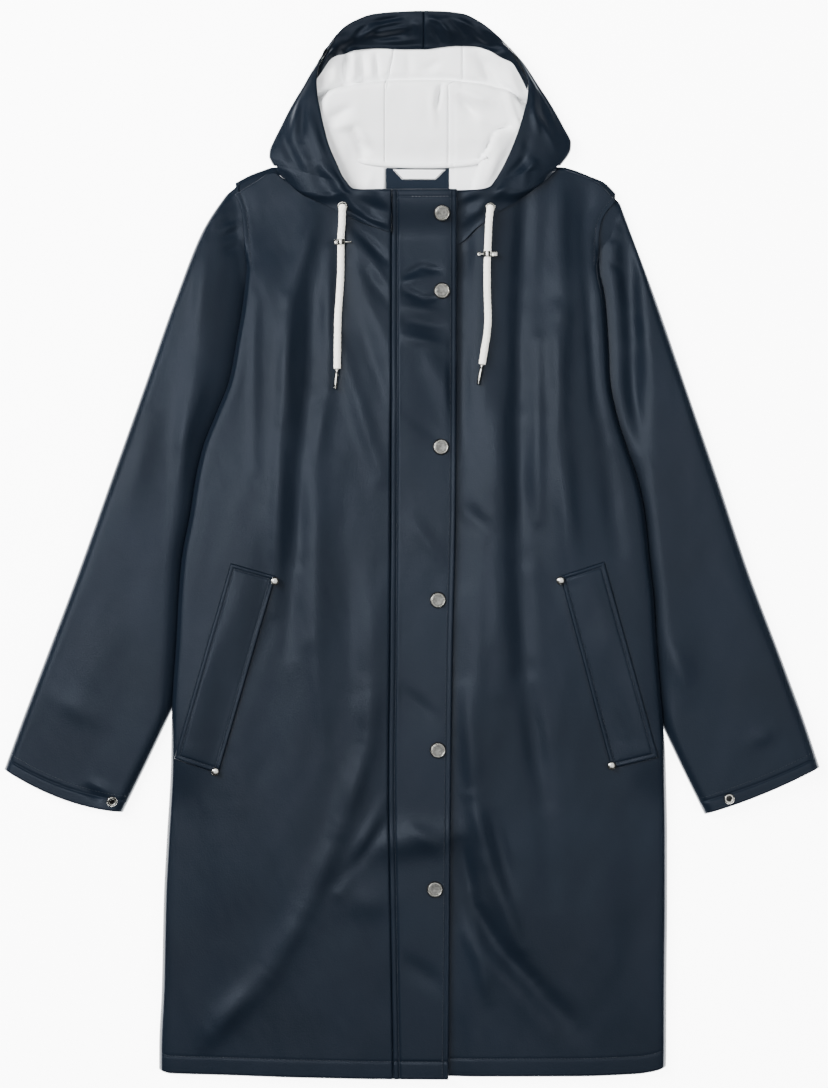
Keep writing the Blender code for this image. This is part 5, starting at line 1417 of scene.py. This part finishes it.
class RAINCOAT_OT_stage(bpy.types.Operator):
    """Sets up the camera straight above the coat, the soft studio lights and the pale floor"""

    bl_idname = "raincoat.stage"
    bl_label = "Camera, lights and floor"

    def execute(self, context):
        studio = context.scene.raincoat_stage
        data = bpy.data.cameras.new("camera")
        data.lens = 100.0
        data.sensor_width = 36.0
        camera = add_object("camera", data)
        camera.location = (0.002, 0.0012, studio.camera_height)
        context.scene.camera = camera
        for name, place, power in (
            ("key", (-2.7, 1.7, 2.4), studio.key_power), ("fill", (2.9, -0.3, 2.4), studio.fill_power),
        ):
            area_light(name, place, (0, 0, 0), 1.2, 2.6, power).visible_glossy = False
        area_light("overhead", (0.35, 0.1, 4.0), (0.35, 0.1, 0), 2.4, 2.8, studio.top_power)
        area_light("window", (-1.5, 0.45, 3.8), (-0.1, 0.1, 0), 0.7, 2.2, studio.window_power)
        room = bpy.data.worlds.new("room")
        room.use_nodes = True
        background = room.node_tree.nodes["Background"]
        background.inputs["Color"].default_value = (1.0, 1.0, 1.0, 1.0)
        background.inputs["Strength"].default_value = studio.sky
        context.scene.world = room
        bm = bmesh.new()
        bmesh.ops.create_grid(bm, x_segments=8, y_segments=8, size=4.0)
        bmesh.ops.translate(bm, vec=Vector((0, 0, -0.0006)), verts=bm.verts)
        floor = add_object("studio_floor", made_mesh("studio_floor", bm))
        floor.data.materials.append(floor_material((0.93, 0.93, 0.93), studio.floor_glow))
        return {"FINISHED"}


def smooth_route(points, step):
    """The cord's route as many even points, in metres, with its length."""
    given = np.array([list(world(*point)) for point in points])
    spans = np.linalg.norm(np.diff(given, axis=0), axis=1)
    along = np.concatenate([[0.0], np.cumsum(spans)])
    lines = [smooth_line(along, given[:, axis]) for axis in range(3)]
    fine = np.linspace(0, along[-1], max(8, int(along[-1] / (step * MM))))
    route = np.stack([line(fine) for line in lines], axis=1)
    return route, float(np.linalg.norm(np.diff(route, axis=0), axis=1).sum())


def braid_mesh(name, route, width, height, strands):
    """A braided tube along a route: two sets of strands cross over it, each a small swelling."""
    around = 8 * strands
    ahead = np.gradient(route, axis=0)
    ahead /= np.linalg.norm(ahead, axis=1)[:, None]
    up = np.tile([0.0, 0.0, 1.0], (len(route), 1))
    up = up - (up * ahead).sum(axis=1)[:, None] * ahead
    up /= np.linalg.norm(up, axis=1)[:, None]
    aside = np.cross(ahead, up)
    along = np.concatenate([[0.0], np.cumsum(np.linalg.norm(np.diff(route, axis=0), axis=1))])[:, None]
    angle = 2 * np.pi * np.arange(around) / around
    turns = along / (width * 1.15)
    one = np.cos(strands * angle[None, :] + 2 * np.pi * turns * 1.6)
    other = np.cos(strands * angle[None, :] - 2 * np.pi * turns * 1.6)
    swell = 1.0 + 0.06 * (np.maximum(one, other) - 0.6)
    swell = swell * (1.0 + 0.022 * np.sin(along * 310.0) * np.cos(along * 127.0))
    round_start = np.clip(along / (0.42 * width), 0.0, 1.0)
    swell = swell * np.sqrt(np.maximum(1 - (1 - round_start) ** 2, 0.03))
    ring = np.cos(angle)[None, :, None] * aside[:, None, :] * width / 2
    ring = ring + np.sin(angle)[None, :, None] * up[:, None, :] * height / 2
    return tube_mesh(name, route[:, None, :] + ring * swell[:, :, None])


class RAINCOAT_OT_drawstring(bpy.types.Operator):
    """Lays the drawstring's two braided ends with their stops and dipped metal tips"""

    bl_idname = "raincoat.drawstring"
    bl_label = "Drawstring"

    def execute(self, context):
        sizes = context.scene.raincoat_drawstring
        for side, points, stop_at, bars in (
            ("right", CORD_RIGHT, STOP_RIGHT, STOP_BARS_RIGHT),
            ("left", CORD_LEFT, STOP_LEFT, STOP_BARS_LEFT),
        ):
            name = f"drawstring_{side}"
            route, length = smooth_route(points, CORD_STEP)
            mesh = braid_mesh(name, route, sizes.width, sizes.height, sizes.strands)
            cord = add_piece(name, mesh, ["cotton_braid"], (f"cord_{side}",))
            stop = self.add_stop(side, stop_at, bars)
            tip = self.add_tip(side, route)
        return {"FINISHED"}

    def add_stop(self, side, at, bars):
        """A stop: a rounded band round the cord with the small bars and pins of its catch beside it."""
        centre = world(*at)
        inner, outer, half = STOP_BORE, STOP_BORE + 0.9, STOP_HALF_LENGTH
        profile = [(inner, half), (outer, half - 0.35), (outer, -half + 0.35), (inner, -half), (inner, half)]
        band = lathe("stop_band", rounded_profile(profile, 0.3), 40)
        band.transform(turned(Vector((0.0, -0.998, -0.05)), centre))
        bm = bmesh.new()
        bm.from_mesh(band)
        for near, far, breadth in bars:
            bar = bmesh.new()
            thick = min(breadth, 2.2)
            bmesh.ops.create_cube(bar, size=1.0)
            size = Vector((abs(far - near) * MM, breadth * MM, thick * MM))
            bmesh.ops.scale(bar, vec=size, verts=bar.verts)
            bmesh.ops.translate(bar, vec=centre + Vector(((near + far) / 2 * MM, 0, 0)), verts=bar.verts)
            bmesh.ops.bevel(
                bar, geom=bar.edges[:], offset=0.35 * thick * MM, segments=3, affect="EDGES", profile=0.5,
            )
            bm.from_mesh(made_mesh("stop_bar", bar))
        mesh = made_mesh(f"stop_{side}", bm)
        return add_piece(f"stop_{side}", mesh, ["bright_nickel"], (f"cord_clip_{side}",))

    def add_tip(self, side, route):
        """A crimped metal tip, with two rings pressed round it."""
        mesh = lathe(f"tip_{side}", rounded_profile(TIP_PROFILE, 0.25), 32)
        low, high = map(Vector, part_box(f"cord_tip_{side}"))
        centre = (low + high) / 2
        mesh.transform(turned((centre - Vector(route[-1])).normalized(), centre))
        return add_piece(f"tip_{side}", mesh, ["bright_nickel"], (f"cord_tip_{side}",))


class RAINCOAT_OT_back(bpy.types.Operator):
    """Makes the back panel, dark outside and white knit inside"""

    bl_idname = "raincoat.back"
    bl_label = "Back panel"

    def execute(self, context):
        across = marks(506, 7.0, (0, 215, 238, 260, 506), 2.6, 16)
        body = mix(BACK_ROLL, 1.0, marks(905, 8.0, (0, 25, 905), 2.6, 24))
        down = np.concatenate([np.linspace(0, BACK_ROLL, 10)[:-1], body])
        mesh = cloth_mesh("coat_back", across, down, back_place, flip=True)
        add_coated("coat_back", mesh, "back_panel", CLOTH, (0.52, 0.96), "studio_floor")
        return {"FINISHED"}


def in_corners(corners, share, down):
    """x and y in a four-sided piece, whose corners are given from the top left round to the bottom left."""
    return tuple(mix(mix(a, b, share), mix(d, c, share), down) for a, b, c, d in zip(*corners))


class RAINCOAT_OT_neck(bpy.types.Operator):
    """Lays the dark neck facing and the blank label inside the back neck"""

    bl_idname = "raincoat.neck"
    bl_label = "Neck facing and label"

    def execute(self, context):
        def patch(corners, lift, bow):
            width = abs(corners[1][0] - corners[0][0])
            length = abs(corners[3][1] - corners[0][1])

            def place(share, down):
                x, y = in_corners(corners, share, down)
                from_side = np.minimum(share, 1 - share) * width
                edge = np.minimum(from_side, np.minimum(down, 1 - down) * length)
                z = neck_inside(x, y) + lift + bow * np.sin(math.pi * share) * (1 - down)
                return x, y, z + rolled(edge, 0.35, 0.8) + 0.15 * lattice_noise(x, y, 12, 9, 51)

            return place

        across, down = marks(63, 1.5, (0, 63), 0.5, 2), marks(44, 1.5, (0, 44), 0.5, 2)
        mesh = cloth_mesh("neck_facing", across, down, patch(NECK_PATCH, 1.6, 0.0))
        add_cloth(
            "neck_facing", mesh, "back_neck_facing", ["neck_cloth"], 0.9, (0.066, 0.046),
        )
        across, down = marks(52, 1.2, (0, 52), 0.4, 2), marks(10, 0.8)
        mesh = cloth_mesh("blank_label", across, down, patch(LABEL_CORNERS, LABEL_LIFT, LABEL_BOW))
        add_cloth(
            "blank_label", mesh, "label", ["woven_label"], 0.45, (0.054, 0.014),
            [self.label_border()],
        )
        return {"FINISHED"}

    def label_border(self):
        """A fine woven line just inside the label's edge."""
        places = []
        for x, y, dx, dy in line_points(LABEL_LINE, 0.9):
            share = (x - LABEL_CORNERS[0][0]) / 52.4
            bow = LABEL_BOW * math.sin(math.pi * share) * (1 - (y - 169) / 10)
            z = neck_inside(np.array([x]), np.array([y]))[0] + LABEL_LIFT + bow
            places.append(np.array(turned(Vector((dx, -dy, 0)), world(x, y, z + 0.12), "X", "Z")))
        mesh = joined_copies("label_border", stitch_template(1.5, 0.75), places)
        return add_piece("label_border", mesh, ["label_border"])


class RAINCOAT_OT_fronts(bpy.types.Operator):
    """Makes the right and left fronts with their folds, sewn lines and hem"""

    bl_idname = "raincoat.fronts"
    bl_label = "Fronts"

    def execute(self, context):
        for side, width, outer, inner, hem, top, fine_columns, cut in (
            ("right", 235, body_left, under_placket, hem_right, front_right_top, (0, 235), (0.27, 0.93)),
            ("left", 268, body_right, placket_under, hem_left, front_left_top, (0, 220, 268), (0.29, 0.93)),
        ):
            across = marks(width, 2.8, fine_columns, 1.1, 5)
            down = marks(905, 3.0, (0, 880, 886, 905), 1.3, 6)
            place = front_place(outer, inner, hem, top)
            mesh = cloth_mesh(f"coat_front_{side}", across, down, place, flip=side == "left")
            wall = context.scene.raincoat_cloth.wall
            add_coated(f"coat_front_{side}", mesh, f"front_{side}", wall, cut, "coat_back")
        return {"FINISHED"}


class RAINCOAT_OT_placket(bpy.types.Operator):
    """Makes the snap placket over the front opening"""

    bl_idname = "raincoat.placket"
    bl_label = "Placket"

    def execute(self, context):
        def place(share, along):
            y = mix(PLACKET_TOP, PLACKET_END, along)
            x = mix(placket_seam(y), placket_edge(y), share)
            return x, y, placket_top(x, y)

        across = marks(62, 1.6, (0, 6, 56, 62), 0.6, 2.2)
        down = marks(889.4, 2.6, (0, 7.5, 871, 889.4), 0.8, 3)
        mesh = cloth_mesh("coat_placket", across, down, place)
        add_coated("coat_placket", mesh, "placket", 1.6, (0.068, 0.895), "coat_front_left")
        return {"FINISHED"}


class RAINCOAT_OT_sleeves(bpy.types.Operator):
    """Makes both sleeves as flattened tubes with stitched cuffs"""

    bl_idname = "raincoat.sleeves"
    bl_label = "Sleeves"

    def execute(self, context):
        over = marks(130, 2.6, (0, 130), 0.6, 4)
        under = 1 + marks(130, 5.0, (0, 130), 0.8, 4)
        around = np.concatenate([over, under[1:]])
        down = marks(SLEEVE_LENGTH, 3.2, (0, 617, 623, SLEEVE_LENGTH), 1.2, 6)
        for side, armhole, edge, way, seed in (
            ("right", ARMHOLE_RIGHT, body_left, 1, 21), ("left", ARMHOLE_LEFT, body_right, -1, 25),
        ):
            place = sleeve_place(SLEEVE_ROWS[side], armhole, edge, way, CUFF_BOW[side], seed)
            name = f"coat_sleeve_{side}"
            mesh = cloth_mesh(name, around, down, place, ring=True, flip=way < 0)
            wall = context.scene.raincoat_cloth.wall
            add_coated(name, mesh, f"sleeve_{side}", wall, (0.345, 0.70), "studio_floor")
        return {"FINISHED"}


class RAINCOAT_OT_hood(bpy.types.Operator):
    """Makes the hood from its two sides and its middle panel, lying open"""

    bl_idname = "raincoat.hood"
    bl_label = "Hood"

    def execute(self, context):
        wall = context.scene.raincoat_cloth.wall
        over = marks(60, 1.5, (0, 60), 0.5, 4)
        turn = 1 + np.linspace(0, 1, 9)[1:]
        under = 2 + marks(110, 2.4, (0,), 1.2, 4)[1:]
        across = np.concatenate([over, turn, under])
        for side, rows, way, front, seed in (
            ("right", HOOD_RIGHT_ROWS, 1, front_height, 41),
            ("left", HOOD_LEFT_ROWS, -1, left_front_height, 45),
        ):
            last = len(rows) - 1
            name = f"coat_hood_{side}"
            mesh = cloth_mesh(
                name, across, np.linspace(0, last, last * 10 + 1),
                hood_side_place(rows, way, on_front(front), seed), kept=lambda column_at,
                row_at: row_at < SHOULDER_ROW - 0.01 or column_at < 0.999, flip=way > 0,
            )
            add_coated(name, mesh, f"hood_side_{side}", wall, (0.26, 0.27), "coat_back", f"coat_front_{side}")
        across = marks(63, 1.6, (0, 63, 58), 0.5, 3)
        down = np.linspace(0, SHOULDER_ROW, 91)
        mesh = cloth_mesh("coat_hood_middle", across, down, hood_middle, flip=True)
        add_coated("coat_hood_middle", mesh, "hood_centre", wall, (0.076, 0.175), "studio_floor")
        return {"FINISHED"}


def hood_inside():
    """The lower leaves and the middle panel alone, to lay the facing and the neck welt on."""
    bm = bmesh.new()
    leaf = marks(110, 2.4), np.linspace(0, SHOULDER_ROW, 101)
    middle = marks(63, 1.6), np.linspace(0, SHOULDER_ROW, 91)
    for across, down, place in (
        (*leaf, leaf_place(HOOD_RIGHT_ROWS, 1)), (*leaf, leaf_place(HOOD_LEFT_ROWS, -1)),
        (*middle, hood_middle),
    ):
        mesh = cloth_mesh("inside", across, down, place)
        bm.from_mesh(mesh)
        bpy.data.meshes.remove(mesh)
    tree = BVHTree.FromBMesh(bm)
    bm.free()
    return tree


def drape_height(tree, x, y):
    """The height of the inside at each place, taken a little further in where a ray misses it."""
    heights = np.zeros(x.shape)
    flat_x, flat_y, flat_z = x.ravel(), y.ravel(), heights.ravel()
    for k in range(len(flat_x)):
        for pull in (0.0, 0.02, 0.05, 0.1, 0.18):
            place = world(mix(flat_x[k], FACING_SEAM_X, pull), mix(flat_y[k], 90.0, pull), RAY_START)
            hit = tree.ray_cast(place, DOWN)[0]
            if hit is not None:
                flat_z[k] = hit.z / MM
                break
    return heights


class RAINCOAT_OT_hood_facing(bpy.types.Operator):
    """Lays the dark facing inside the hood's front edge, in two halves with a seam between them"""

    bl_idname = "raincoat.hood_facing"
    bl_label = "Hood facing"

    def execute(self, context):
        tree = hood_inside()
        bottom = self.even(FACING_BOTTOM)
        top = self.even(FACING_TOP)

        def half(start, end):
            def place(share, down):
                along = mix(start, end, share)
                top_x, top_y = top(along)
                low_x, low_y = bottom(along)
                x = mix(top_x, low_x, down)
                y = mix(top_y, low_y, down)
                z = drape_height(tree, x, y) + CLOTH + 1.3 + FACING_WALL
                from_seam = np.abs(x - FACING_SEAM_X)
                from_low = (1 - down) * np.hypot(low_x - top_x, low_y - top_y)
                detail = fold_height(FACING_CREASES, x, y) + 0.5 * lattice_noise(x, y, 15, 6, 61)
                detail = detail * ease(from_seam, 1, 5) * ease(from_low, 0.5, 4) * ease(down, 0.03, 0.2)
                detail = detail + rolled(from_seam, 1.3, 2.2) + rolled(from_low, 0.7, 1.2)
                return x, y, z + np.maximum(detail, -1.4 + 0.1 * detail)

            return place

        for side, start in (("right", 0.0), ("left", 2.0)):
            across = marks(130, 1.5, (130,), 0.5, 3)
            down = marks(40, 1.1, (38, 40), 0.4, 1.5)
            name = f"coat_hood_facing_{side}"
            add_cloth(
                name, cloth_mesh(name, across, down, half(start, 1.0), flip=start > 1.0),
                f"hood_facing_{side}", ["facing_cloth", "knit_back"], FACING_WALL,
                (0.14, 0.05),
            )
        return {"FINISHED"}

    def even(self, line):
        """A line of places as a curve that reaches the centre seam at 1 and the other end at 2."""
        xs, ys = zip(*line)
        seam = int(np.argmin([abs(x - FACING_SEAM_X) for x in xs]))
        keys = np.concatenate([np.linspace(0, 1, seam + 1), 1 + np.linspace(0, 1, len(line) - seam)[1:]])
        line_x = smooth_line(keys, xs)
        line_y = smooth_line(keys, ys)

        def at(along):
            gap = 0.18 * np.where(along > 1, 1, -1)
            near = (np.abs(along - 1) < 1e-6) * 1.0
            return line_x(along) + gap * near, line_y(along)

        return at


class RAINCOAT_OT_neck_welt(bpy.types.Operator):
    """Lays the rounded welt over the neck seam inside the hood"""

    bl_idname = "raincoat.neck_welt"
    bl_label = "Neck seam welt"

    def execute(self, context):
        keys = np.linspace(0, 1, len(HOOD_NECK_WELT))
        along = np.linspace(0, 1, 140)
        x, y = (smooth_line(keys, values)(along) for values in zip(*HOOD_NECK_WELT))
        z = drape_height(hood_inside(), x, np.minimum(y, 163.0)) + CLOTH + 0.7
        route = np.stack([x, y, z], axis=1)
        rings = []
        for share, point, slope in zip(along, route, np.gradient(route, axis=0)):
            ahead = slope / np.linalg.norm(slope)
            fade = min(1.0, math.sin(math.pi * share) * 3.2 + 0.12)
            ring = []
            for j in range(WELT_SIDES):
                angle = 2 * math.pi * j / WELT_SIDES
                out = 2.6 * math.cos(angle) * (0.6 + 0.4 * fade)
                rise = 2.3 * math.sin(angle) * fade
                ring.append(world(point[0] - ahead[1] * out, point[1] + ahead[0] * out, point[2] + rise))
            rings.append(ring)
        add_piece("neck_welt", tube_mesh("neck_welt", rings), ["knit_back"])
        return {"FINISHED"}


class RAINCOAT_OT_pockets(bpy.types.Operator):
    """Lays the two slanted pocket welts on the fronts, each with a stitched border and one open edge"""

    bl_idname = "raincoat.pockets"
    bl_label = "Pocket welts"

    def execute(self, context):
        def welt(corners, top, way):
            def place(share, down):
                x, y = in_corners(corners, share, down)
                from_left = share * WELT_WIDTH
                from_right = (1 - share) * WELT_WIDTH
                from_end = np.minimum(down, 1 - down) * WELT_LENGTH
                opening, closed = (from_right, from_left) if way > 0 else (from_left, from_right)
                edge = np.minimum(np.minimum(from_left, from_right), from_end)
                z = top(x, y) + 1.9 + 1.0 * (1 - ease(opening, 0, 9))
                z = z + groove(np.minimum(closed, from_end) - WELT_STITCH, 0.45, 1.0)
                z = z + groove(opening - 5.0, 0.4, 1.0)
                z = z + rolled(edge, 0.9, 1.6) + 0.35 * cloth_swells(x, y, 71) * ease(edge, 5, 9)
                return x, y, z

            return place

        for side, top, way in (("right", front_right_top, 1), ("left", front_left_top, -1)):
            across = marks(WELT_WIDTH, 1.5, (0, 4.6, 41.4, 46), 0.5, 1.5)
            down = marks(WELT_LENGTH, 2.4, (0, 4.6, 200.4, 205), 0.6, 2.0)
            name = f"coat_welt_{side}"
            mesh = cloth_mesh(name, across, down, welt(WELT_CORNERS[side], top, way))
            add_coated(name, mesh, f"pocket_welt_{side}", 1.5, (0.052, 0.215), f"coat_front_{side}")
        return {"FINISHED"}


class RAINCOAT_OT_snaps(bpy.types.Operator):
    """Sets the six ringed snap caps down the placket"""

    bl_idname = "raincoat.snaps"
    bl_label = "Placket snaps"

    def execute(self, context):
        surface = Surface("coat_placket")
        for seat in SNAP_SEATS:
            mesh = lathe(seat.name, rounded_profile(SNAP_PROFILE, 0.3), 56)
            name = seat.name.replace("snap", "snap_cap")
            obj = add_piece(
                name, mesh, ["bright_nickel", "worn_nickel", "dark_metal"], (seat.name,),
            )
            # Faces past SNAP_RADIUS, the cap's low rim on the cloth, take the near-black finish: a painted
            # shadow round the cap
            for face in mesh.polygons:
                away = face.center.xy.length / MM
                face.material_index = 1 if away < SNAP_DISC else 2 * int(away > SNAP_RADIUS)
            stand(obj, seat, settled(surface, seat, 7.5))
        return {"FINISHED"}


class RAINCOAT_OT_rivets(bpy.types.Operator):
    """Sets the domed rivets at the pockets' corners"""

    bl_idname = "raincoat.rivets"
    bl_label = "Pocket rivets"

    def execute(self, context):
        profile = [(0.0, 1.95)]
        for angle in np.linspace(0.2, 1.35, 7):
            out = RIVET_RADIUS * math.sin(angle) / math.sin(1.35) * 0.97
            profile.append((out, 0.9 + 1.05 * math.cos(angle)))
        profile += [(RIVET_RADIUS, 0.3), (RIVET_RADIUS, -0.2), (0.0, -0.3)]
        for seat in RIVET_SEATS:
            side = "right" if "right" in seat.name else "left"
            height = settled(Surface(f"coat_front_{side}", f"coat_welt_{side}"), seat, 3.8) + 0.8
            name = seat.name.replace("rivet", "pocket_rivet")
            add_fitting(seat, name, lathe(seat.name, profile, 40), "bright_nickel", height)
        return {"FINISHED"}


class RAINCOAT_OT_cuff_snaps(bpy.types.Operator):
    """Sets the open ring snaps on the cuffs"""

    bl_idname = "raincoat.cuff_snaps"
    bl_label = "Cuff snaps"

    def execute(self, context):
        for seat in CUFF_SNAP_SEATS:
            height = settled(Surface(seat.name.replace("cuff_snap", "coat_sleeve")), seat, 5.5)
            name = seat.name.replace("cuff_snap", "cuff_ring")
            ring = lathe(seat.name, rounded_profile(CUFF_RING_PROFILE, 0.3), 48)
            add_fitting(seat, name, ring, "bright_nickel", height)
            cup = lathe(name + "_cup", rounded_profile(CUFF_CUP_PROFILE, 0.15), 32)
            add_fitting(seat, name + "_cup", cup, "dark_metal", height)
        return {"FINISHED"}


class RAINCOAT_OT_eyelets(bpy.types.Operator):
    """Sets the rolled eyelets that the drawstring comes out of"""

    bl_idname = "raincoat.eyelets"
    bl_label = "Eyelets"

    def execute(self, context):
        angles = [2 * math.pi * k / 16 for k in range(17)]
        profile = [(4.3 - 0.75 * math.cos(angle), 0.5 + 0.7 * math.sin(angle)) for angle in angles]
        for seat in EYELET_SEATS:
            height = settled(Surface(seat.name.replace("eyelet", "coat_hood")), seat, 4.6) + 0.3
            name = seat.name.replace("eyelet", "cord_eyelet")
            add_fitting(seat, name, lathe(seat.name, profile, 48), "bright_nickel", height)
        return {"FINISHED"}


def offset_line(line, distance):
    """The line moved sideways, to the right of its direction on the sheet for a positive distance."""
    line = [np.array(point, float) for point in line]
    moved = []
    for k, point in enumerate(line):
        before = line[max(k - 1, 0)]
        after = line[min(k + 1, len(line) - 1)]
        ahead = (after - before) / np.hypot(*(after - before))
        moved.append(tuple(point + distance * np.array([-ahead[1], ahead[0]])))
    return moved


def inset_loop(corners, distance):
    """The closed border of a four-sided piece, moved in by this distance."""
    corners = [np.array(corner, float) for corner in corners]
    middle = sum(corners) / len(corners)
    lines = []
    for a, b in zip(corners, corners[1:] + corners[:1]):
        ahead = (b - a) / np.hypot(*(b - a))
        inward = np.array([-ahead[1], ahead[0]])
        if inward @ (middle - a) < 0:
            inward = -inward
        ends = (a + inward * distance + ahead * distance, b + inward * distance - ahead * distance)
        lines.append([tuple(end) for end in ends])
    return lines


def cuff_line(rows, bow):
    """The stitched line round a cuff, which bows as its open edge does."""
    last, before = rows[-1], rows[-2]
    length = math.hypot(last.outer_x - before.outer_x, last.outer_y - before.outer_y)
    back_x = (before.outer_x - last.outer_x) / length * CUFF_DEPTH
    back_y = (before.outer_y - last.outer_y) / length * CUFF_DEPTH
    line = []
    for t in np.linspace(0.015, 0.985, 40):
        x = mix(last.outer_x, last.inner_x, t) + back_x
        y = mix(last.outer_y, last.inner_y, t) + back_y + bow * 0.9 * 4 * t * (1 - t)
        line.append((x, y))
    return line


class RAINCOAT_OT_stitching(bpy.types.Operator):
    """Sews the visible rows of stitches on the placket, hem, cuffs, armholes and pockets"""

    bl_idname = "raincoat.stitching"
    bl_label = "Stitching"

    def execute(self, context):
        ys = np.linspace(PLACKET_TOP + 2, 1077, 180)
        seam_line = [(placket_seam(y) + PLACKET_STITCH, y) for y in ys]
        edge_line = [(placket_edge(y) - 6.4, y) for y in ys]
        end_line = [(x, PLACKET_END - HEM_DEPTH) for x in np.linspace(394, 447, 12)]
        placket = Surface("coat_placket")
        add_stitches("placket_stitches", [seam_line, edge_line, end_line], placket)
        neck_line = [(x, PLACKET_TOP + 7.6) for x in np.linspace(411, 449, 12)]
        add_stitches("placket_top_stitches", [neck_line], placket, "top_thread")
        for side, ends, hem, armhole, inward in (
            ("right", (161, 392), hem_right, ARMHOLE_LINE_RIGHT, -ARMHOLE_STITCH),
            ("left", (450, 665), hem_left, ARMHOLE_LINE_LEFT, ARMHOLE_STITCH),
        ):
            hem_line = [(x, float(hem(x)) - HEM_DEPTH) for x in np.linspace(*ends, 60)]
            front_lines = [hem_line, offset_line(armhole, inward)]
            add_stitches(f"front_stitches_{side}", front_lines, Surface(f"coat_front_{side}"))
            border = inset_loop(WELT_CORNERS[side], WELT_STITCH)
            add_stitches(f"pocket_stitches_{side}", border, Surface(f"coat_welt_{side}"))
            cuff = cuff_line(SLEEVE_ROWS[side], CUFF_BOW[side])
            add_stitches(f"cuff_stitches_{side}", [cuff], Surface(f"coat_sleeve_{side}"))
        return {"FINISHED"}


class RAINCOAT_PT_pieces(bpy.types.Panel):
    """Lists the pieces of the coat in the order in which they are made"""

    bl_idname = "RAINCOAT_PT_pieces"
    bl_label = "Hooded raincoat"
    bl_space_type = "VIEW_3D"
    bl_region_type = "UI"
    bl_category = "Raincoat"

    def draw(self, context):
        for operator in OPERATORS:
            self.layout.operator(operator.bl_idname)
        for name, group in SETTINGS.items():
            box = self.layout.box()
            for setting in group.__annotations__:
                box.prop(getattr(context.scene, name), setting)


SETTINGS = {
    "raincoat_cloth": RaincoatCloth, "raincoat_colours": RaincoatColours,
    "raincoat_drawstring": RaincoatDrawstring, "raincoat_stage": RaincoatStage,
}
OPERATORS = (
    RAINCOAT_OT_stage,
    RAINCOAT_OT_drawstring,
    RAINCOAT_OT_back,
    RAINCOAT_OT_neck,
    RAINCOAT_OT_fronts,
    RAINCOAT_OT_placket,
    RAINCOAT_OT_sleeves,
    RAINCOAT_OT_hood,
    RAINCOAT_OT_hood_facing,
    RAINCOAT_OT_neck_welt,
    RAINCOAT_OT_pockets,
    RAINCOAT_OT_snaps,
    RAINCOAT_OT_rivets,
    RAINCOAT_OT_cuff_snaps,
    RAINCOAT_OT_eyelets,
    RAINCOAT_OT_stitching,
)


def register():
    for group in SETTINGS.values():
        bpy.utils.register_class(group)
    for operator in OPERATORS:
        bpy.utils.register_class(operator)
    bpy.utils.register_class(RAINCOAT_PT_pieces)
    for name, group in SETTINGS.items():
        setattr(bpy.types.Scene, name, PointerProperty(type=group))


def unregister():
    for name in SETTINGS:
        delattr(bpy.types.Scene, name)
    bpy.utils.unregister_class(RAINCOAT_PT_pieces)
    for operator in reversed(OPERATORS):
        bpy.utils.unregister_class(operator)
    for group in reversed(list(SETTINGS.values())):
        bpy.utils.unregister_class(group)


def main():
    register()
    for operator in OPERATORS:
        group, name = operator.bl_idname.split(".")
        getattr(getattr(bpy.ops, group), name)()


if __name__ == "__main__":
    main()
